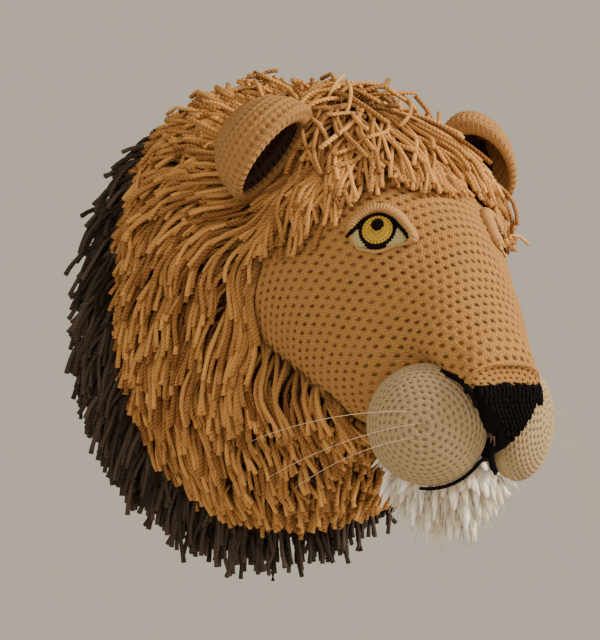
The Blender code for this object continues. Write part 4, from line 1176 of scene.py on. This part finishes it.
# Middles of the two black lines that run from the ring to the corners of the eye.
CORNER_LINES = {"outer": [(7.0, 12.6), (11.5, 10.2), (14.6, 7.2), (17.4, 3.4), (20.6, -0.3), (24.4, -3.8)],
                "inner": [(-8.5, 11.6), (-12.2, 9.0), (-15.2, 5.6), (-18.6, 0.6), (-21.8, -4.2), (-25.6, -9.4)]}
# Inner edge of the lid under the eye, as the pale corners' edge
LOWER_LID = [(-180, 20.5), (-165, 25), (-160, 27.5), (-150, 24), (-135, 18), (-120, 16.5), (-62, 16.5),
             (-40, 19), (-24, 22.5), (-8, 25)]
LID_STEPS = 288
LID_SIDES = 14

solid_head = skin_of(nodes["head"])


def on_head(side, u, v, lift):
    """Point over the head at a spot of the eye."""
    mirror = Vector((side, 1, 1))
    out, across, up = [way * mirror for way in facing(EYE_TURN, EYE_LIFT)]
    middle = solid_head.ray_cast(EYE_PLACE * MM, INTO_FACE)[0] * mirror
    start = middle + across * (u * MM) + up * (v * MM) + out * 0.05
    hit = solid_head.ray_cast(start, -out)[0]
    base = hit if hit is not None else start - out * 0.05
    return tuple(base + out * (lift * MM))


def eye_patch(name, side, reach, height, rings, columns, high, material, replaced, stitches=24):
    """Round patch on the head. reach gives its edge at an angle, height its thickness at ring and angle."""
    rows = []
    for ring in join(np.linspace(0.04, 1, rings), [1.0, 0.5, 0.04]):
        low = len(rows) >= rings
        row = []
        for angle in circle(columns):
            r = reach(angle) * ring
            lift = 0.3 if low else height(ring, angle, r)
            row.append(on_head(side, cos(angle) * r, sin(angle) * r + high, lift))
        rows.append(row)
    woven_grid(name, np.array(rows), np.arange(len(rows)) / 4, float(stitches), 0.0, material, [replaced])


def edge_of(table, rounding=2):
    """Reach of an outline at an angle in radians, rounded a little."""
    fine = np.radians(np.arange(-180, 180, 2.0))
    reach = along(table, np.degrees(fine))
    for _ in range(rounding):
        reach = (np.roll(reach, 1) + 2 * reach + np.roll(reach, -1)) / 4
    return lambda angle: float(np.interp(angle, fine, reach, period=TURN))


def ring_stitch(angle):
    return abs(cos(17 * angle))


def iris_stitch(angle):
    return abs(cos(IRIS_STITCHES * angle / 2))


def lid_points(side):
    """Rows round a closed cord that lies over the eye as a thick hood and under it as a thin edge."""
    outer, inner = [[(degrees(atan2(v, u)), hypot(u, v) + 0.6) for u, v in line]
                    for line in CORNER_LINES.values()]
    upper = sorted(outer)[1:] + [(62, 15.4), (118, 15.4)] + sorted(corner for corner in inner if corner[0] > 0)
    inside = edge_of(LOWER_LID + upper + [(180, 20.5)], 14)
    rows = []
    for turn in circle(LID_SIDES):
        row = []
        for angle in circle(LID_STEPS):
            over = float(ease(sin(angle) + 0.6 * max(0.0, -cos(angle)), -0.1, 0.35))
            half_width = blend(1.5, 4.2, over)
            rib = 0.2 * cos(turn * 3) * over + blend(0.15, 0.42, over) * cos(angle * 48)
            reach = inside(angle) + half_width - 0.6 + cos(turn) * (half_width + rib)
            lift = blend(0.6, 3.0, over) + sin(turn) * (blend(1.1, 4.6, over) + rib)
            row.append(on_head(side, cos(angle) * reach, sin(angle) * reach, lift))
        rows.append(row)
    return np.array(rows)


def build_eye(side, word):
    eye_patch("eye_white_crochet_" + word, side, edge_of(WHITE_EDGE),
              lambda ring, a, r: 2.3 - 1.3 * max(0.0, ring - 0.85) / 0.15 + 0.15 * cos(30 * a),
              8, 90, 0, pale_yarn, "eye_white_" + word)
    # a round of small black stitches
    eye_patch("eye_edge_crochet_" + word, side, lambda a: EYE_RADIUS + 0.3 + 0.3 * ring_stitch(a),
              lambda ring, a, r: 2.7 + 0.35 * ring_stitch(a) * float(ease(r, 12, 14))
              - 1.3 * max(0.0, ring - 0.88) / 0.12, 16, 136, 0, black_yarn, "eye_edge_" + word)
    for corner, line in CORNER_LINES.items():
        spots = np.array([on_head(side, u, v, 2.4) for u, v in line]) / MM
        black_cord("eye_line_" + corner + "_" + word, spots, LINE_RADIUS, (), 0.45)
    eye_patch("iris_crochet_" + word, side, lambda a: IRIS_RADIUS + 0.55 * iris_stitch(a),
              lambda ring, a, r: 3.5 - 1.2 * ring ** 4 + 0.35 * abs(cos(3 * pi * ring))
              + 0.3 * iris_stitch(a) * min(1.0, ring * 1.6), 16, 156, 0.3, yellow_crochet,
              "iris_" + word, IRIS_STITCHES)
    eye_patch("pupil_crochet_" + word, side, lambda a: PUPIL_RADIUS + 0.25 * cos(9 * a),
              lambda ring, a, r: 4.9 - 1.2 * ring ** 3, 8, 36, 4.4, black_yarn,
              "pupil_" + word)
    nothing_selected()
    bpy.ops.mesh.primitive_torus_add(major_segments=LID_STEPS, minor_segments=LID_SIDES, major_radius=1,
                                     minor_radius=0.2)
    lid = bpy.context.object
    points = np.transpose(lid_points(side), (1, 0, 2))
    lid.data.vertices.foreach_set("co", points.astype(np.float32).ravel())
    lid.data.update()
    faces_outward()
    finish_piece(lid, "eyelid_band_" + word, lid_yarn, ["eyelids_" + word])


for side, word in SIDES:
    build_eye(side, word)


# Whiskers: thin tapered filaments in the place of the frame's

def build_whisker(node):
    """A smooth line through the middle of the frame's whisker, root first."""
    spots = np.array([v.co[:] for v in nodes[node].data.vertices]) / MM
    root = spots[np.argmin(np.abs(spots[:, 0]))]
    order = np.argsort(np.linalg.norm(spots - root, axis=1))
    groups = [spots[group].mean(axis=0) for group in np.array_split(order, 5)]
    bends = np.polyfit(np.linspace(0, 1, 5), groups, 3).T
    line = np.stack([np.polyval(bend, np.linspace(0, 1, 25)) for bend in bends], -1)
    strand_mesh(node.replace("whisker", "whisker_filament"), line[None], 0.2, 6, filament,
                [node], taper=0.4)


for _, word in SIDES:
    for index in (1, 2, 3):
        build_whisker(f"whisker_{word}_{index}")


# Floor, light and camera

nothing_selected()
bpy.ops.mesh.primitive_plane_add(size=3, location=(0, -0.5, -1.1))
floor = bpy.context.object
floor.name = "floor"
# Pale matt plaster, plain so that it only carries the soft light
floor_material, _, floor_shader = new_material("Pale floor, matt plaster", 0.9)
floor_shader.inputs["Base Color"].default_value = colour("#CFC8BD")
floor.data.materials.append(floor_material)

world = bpy.data.worlds.new("Soft studio")
world.use_nodes = True
sky = world.node_tree.nodes["Background"]
sky.inputs[0].default_value = colour("#C9BEAC")
sky.inputs[1].default_value = 0.95
bpy.context.scene.world = world

CAMERA_TURN = radians(27.35)
CAMERA_ROLL = radians(0.34)
CAMERA_DISTANCE = 1.53
LENS_PIXELS = 1610
LIGHT_AIM = Vector((0, -0.2, 0))


def add_to_scene(name, data):
    thing = bpy.data.objects.new(name, data)
    bpy.context.scene.collection.objects.link(thing)
    return thing


def soft_box(name, place, size, power, tint):
    light = bpy.data.lights.new(name, "AREA")
    light.shape = "RECTANGLE"
    light.size, light.size_y = size
    light.energy = power
    light.color = colour(tint)[:3]
    lamp = add_to_scene(name, light)
    lamp.location = place
    lamp.rotation_euler = (LIGHT_AIM - Vector(place)).to_track_quat("-Z", "Y").to_euler()


soft_box("window", (1.5, -1.7, 1.1), (0.9, 1.1), 99, "#FFF4E4")
soft_box("room", (-1.4, -2.0, 0.6), (1.6, 1.6), 24, "#FFF4E6")

camera = bpy.data.cameras.new("camera")
camera.sensor_fit = "VERTICAL"
camera.sensor_height = 36
camera.lens = LENS_PIXELS / 640 * 36
camera.clip_end = 20
eye = add_to_scene("camera", camera)
ahead = Vector((sin(CAMERA_TURN), cos(CAMERA_TURN), 0))
level = Vector((cos(CAMERA_TURN), -sin(CAMERA_TURN), 0))
right = level * cos(CAMERA_ROLL) + Vector((0, 0, 1)) * sin(CAMERA_ROLL)
top = Vector((0, 0, 1)) * cos(CAMERA_ROLL) - level * sin(CAMERA_ROLL)
stand = Vector((0.0353, 0, -0.004)) - ahead * CAMERA_DISTANCE
eye.matrix_world = Matrix.Translation(stand) @ Matrix((right, top, -ahead)).transposed().to_4x4()
bpy.context.scene.camera = eye
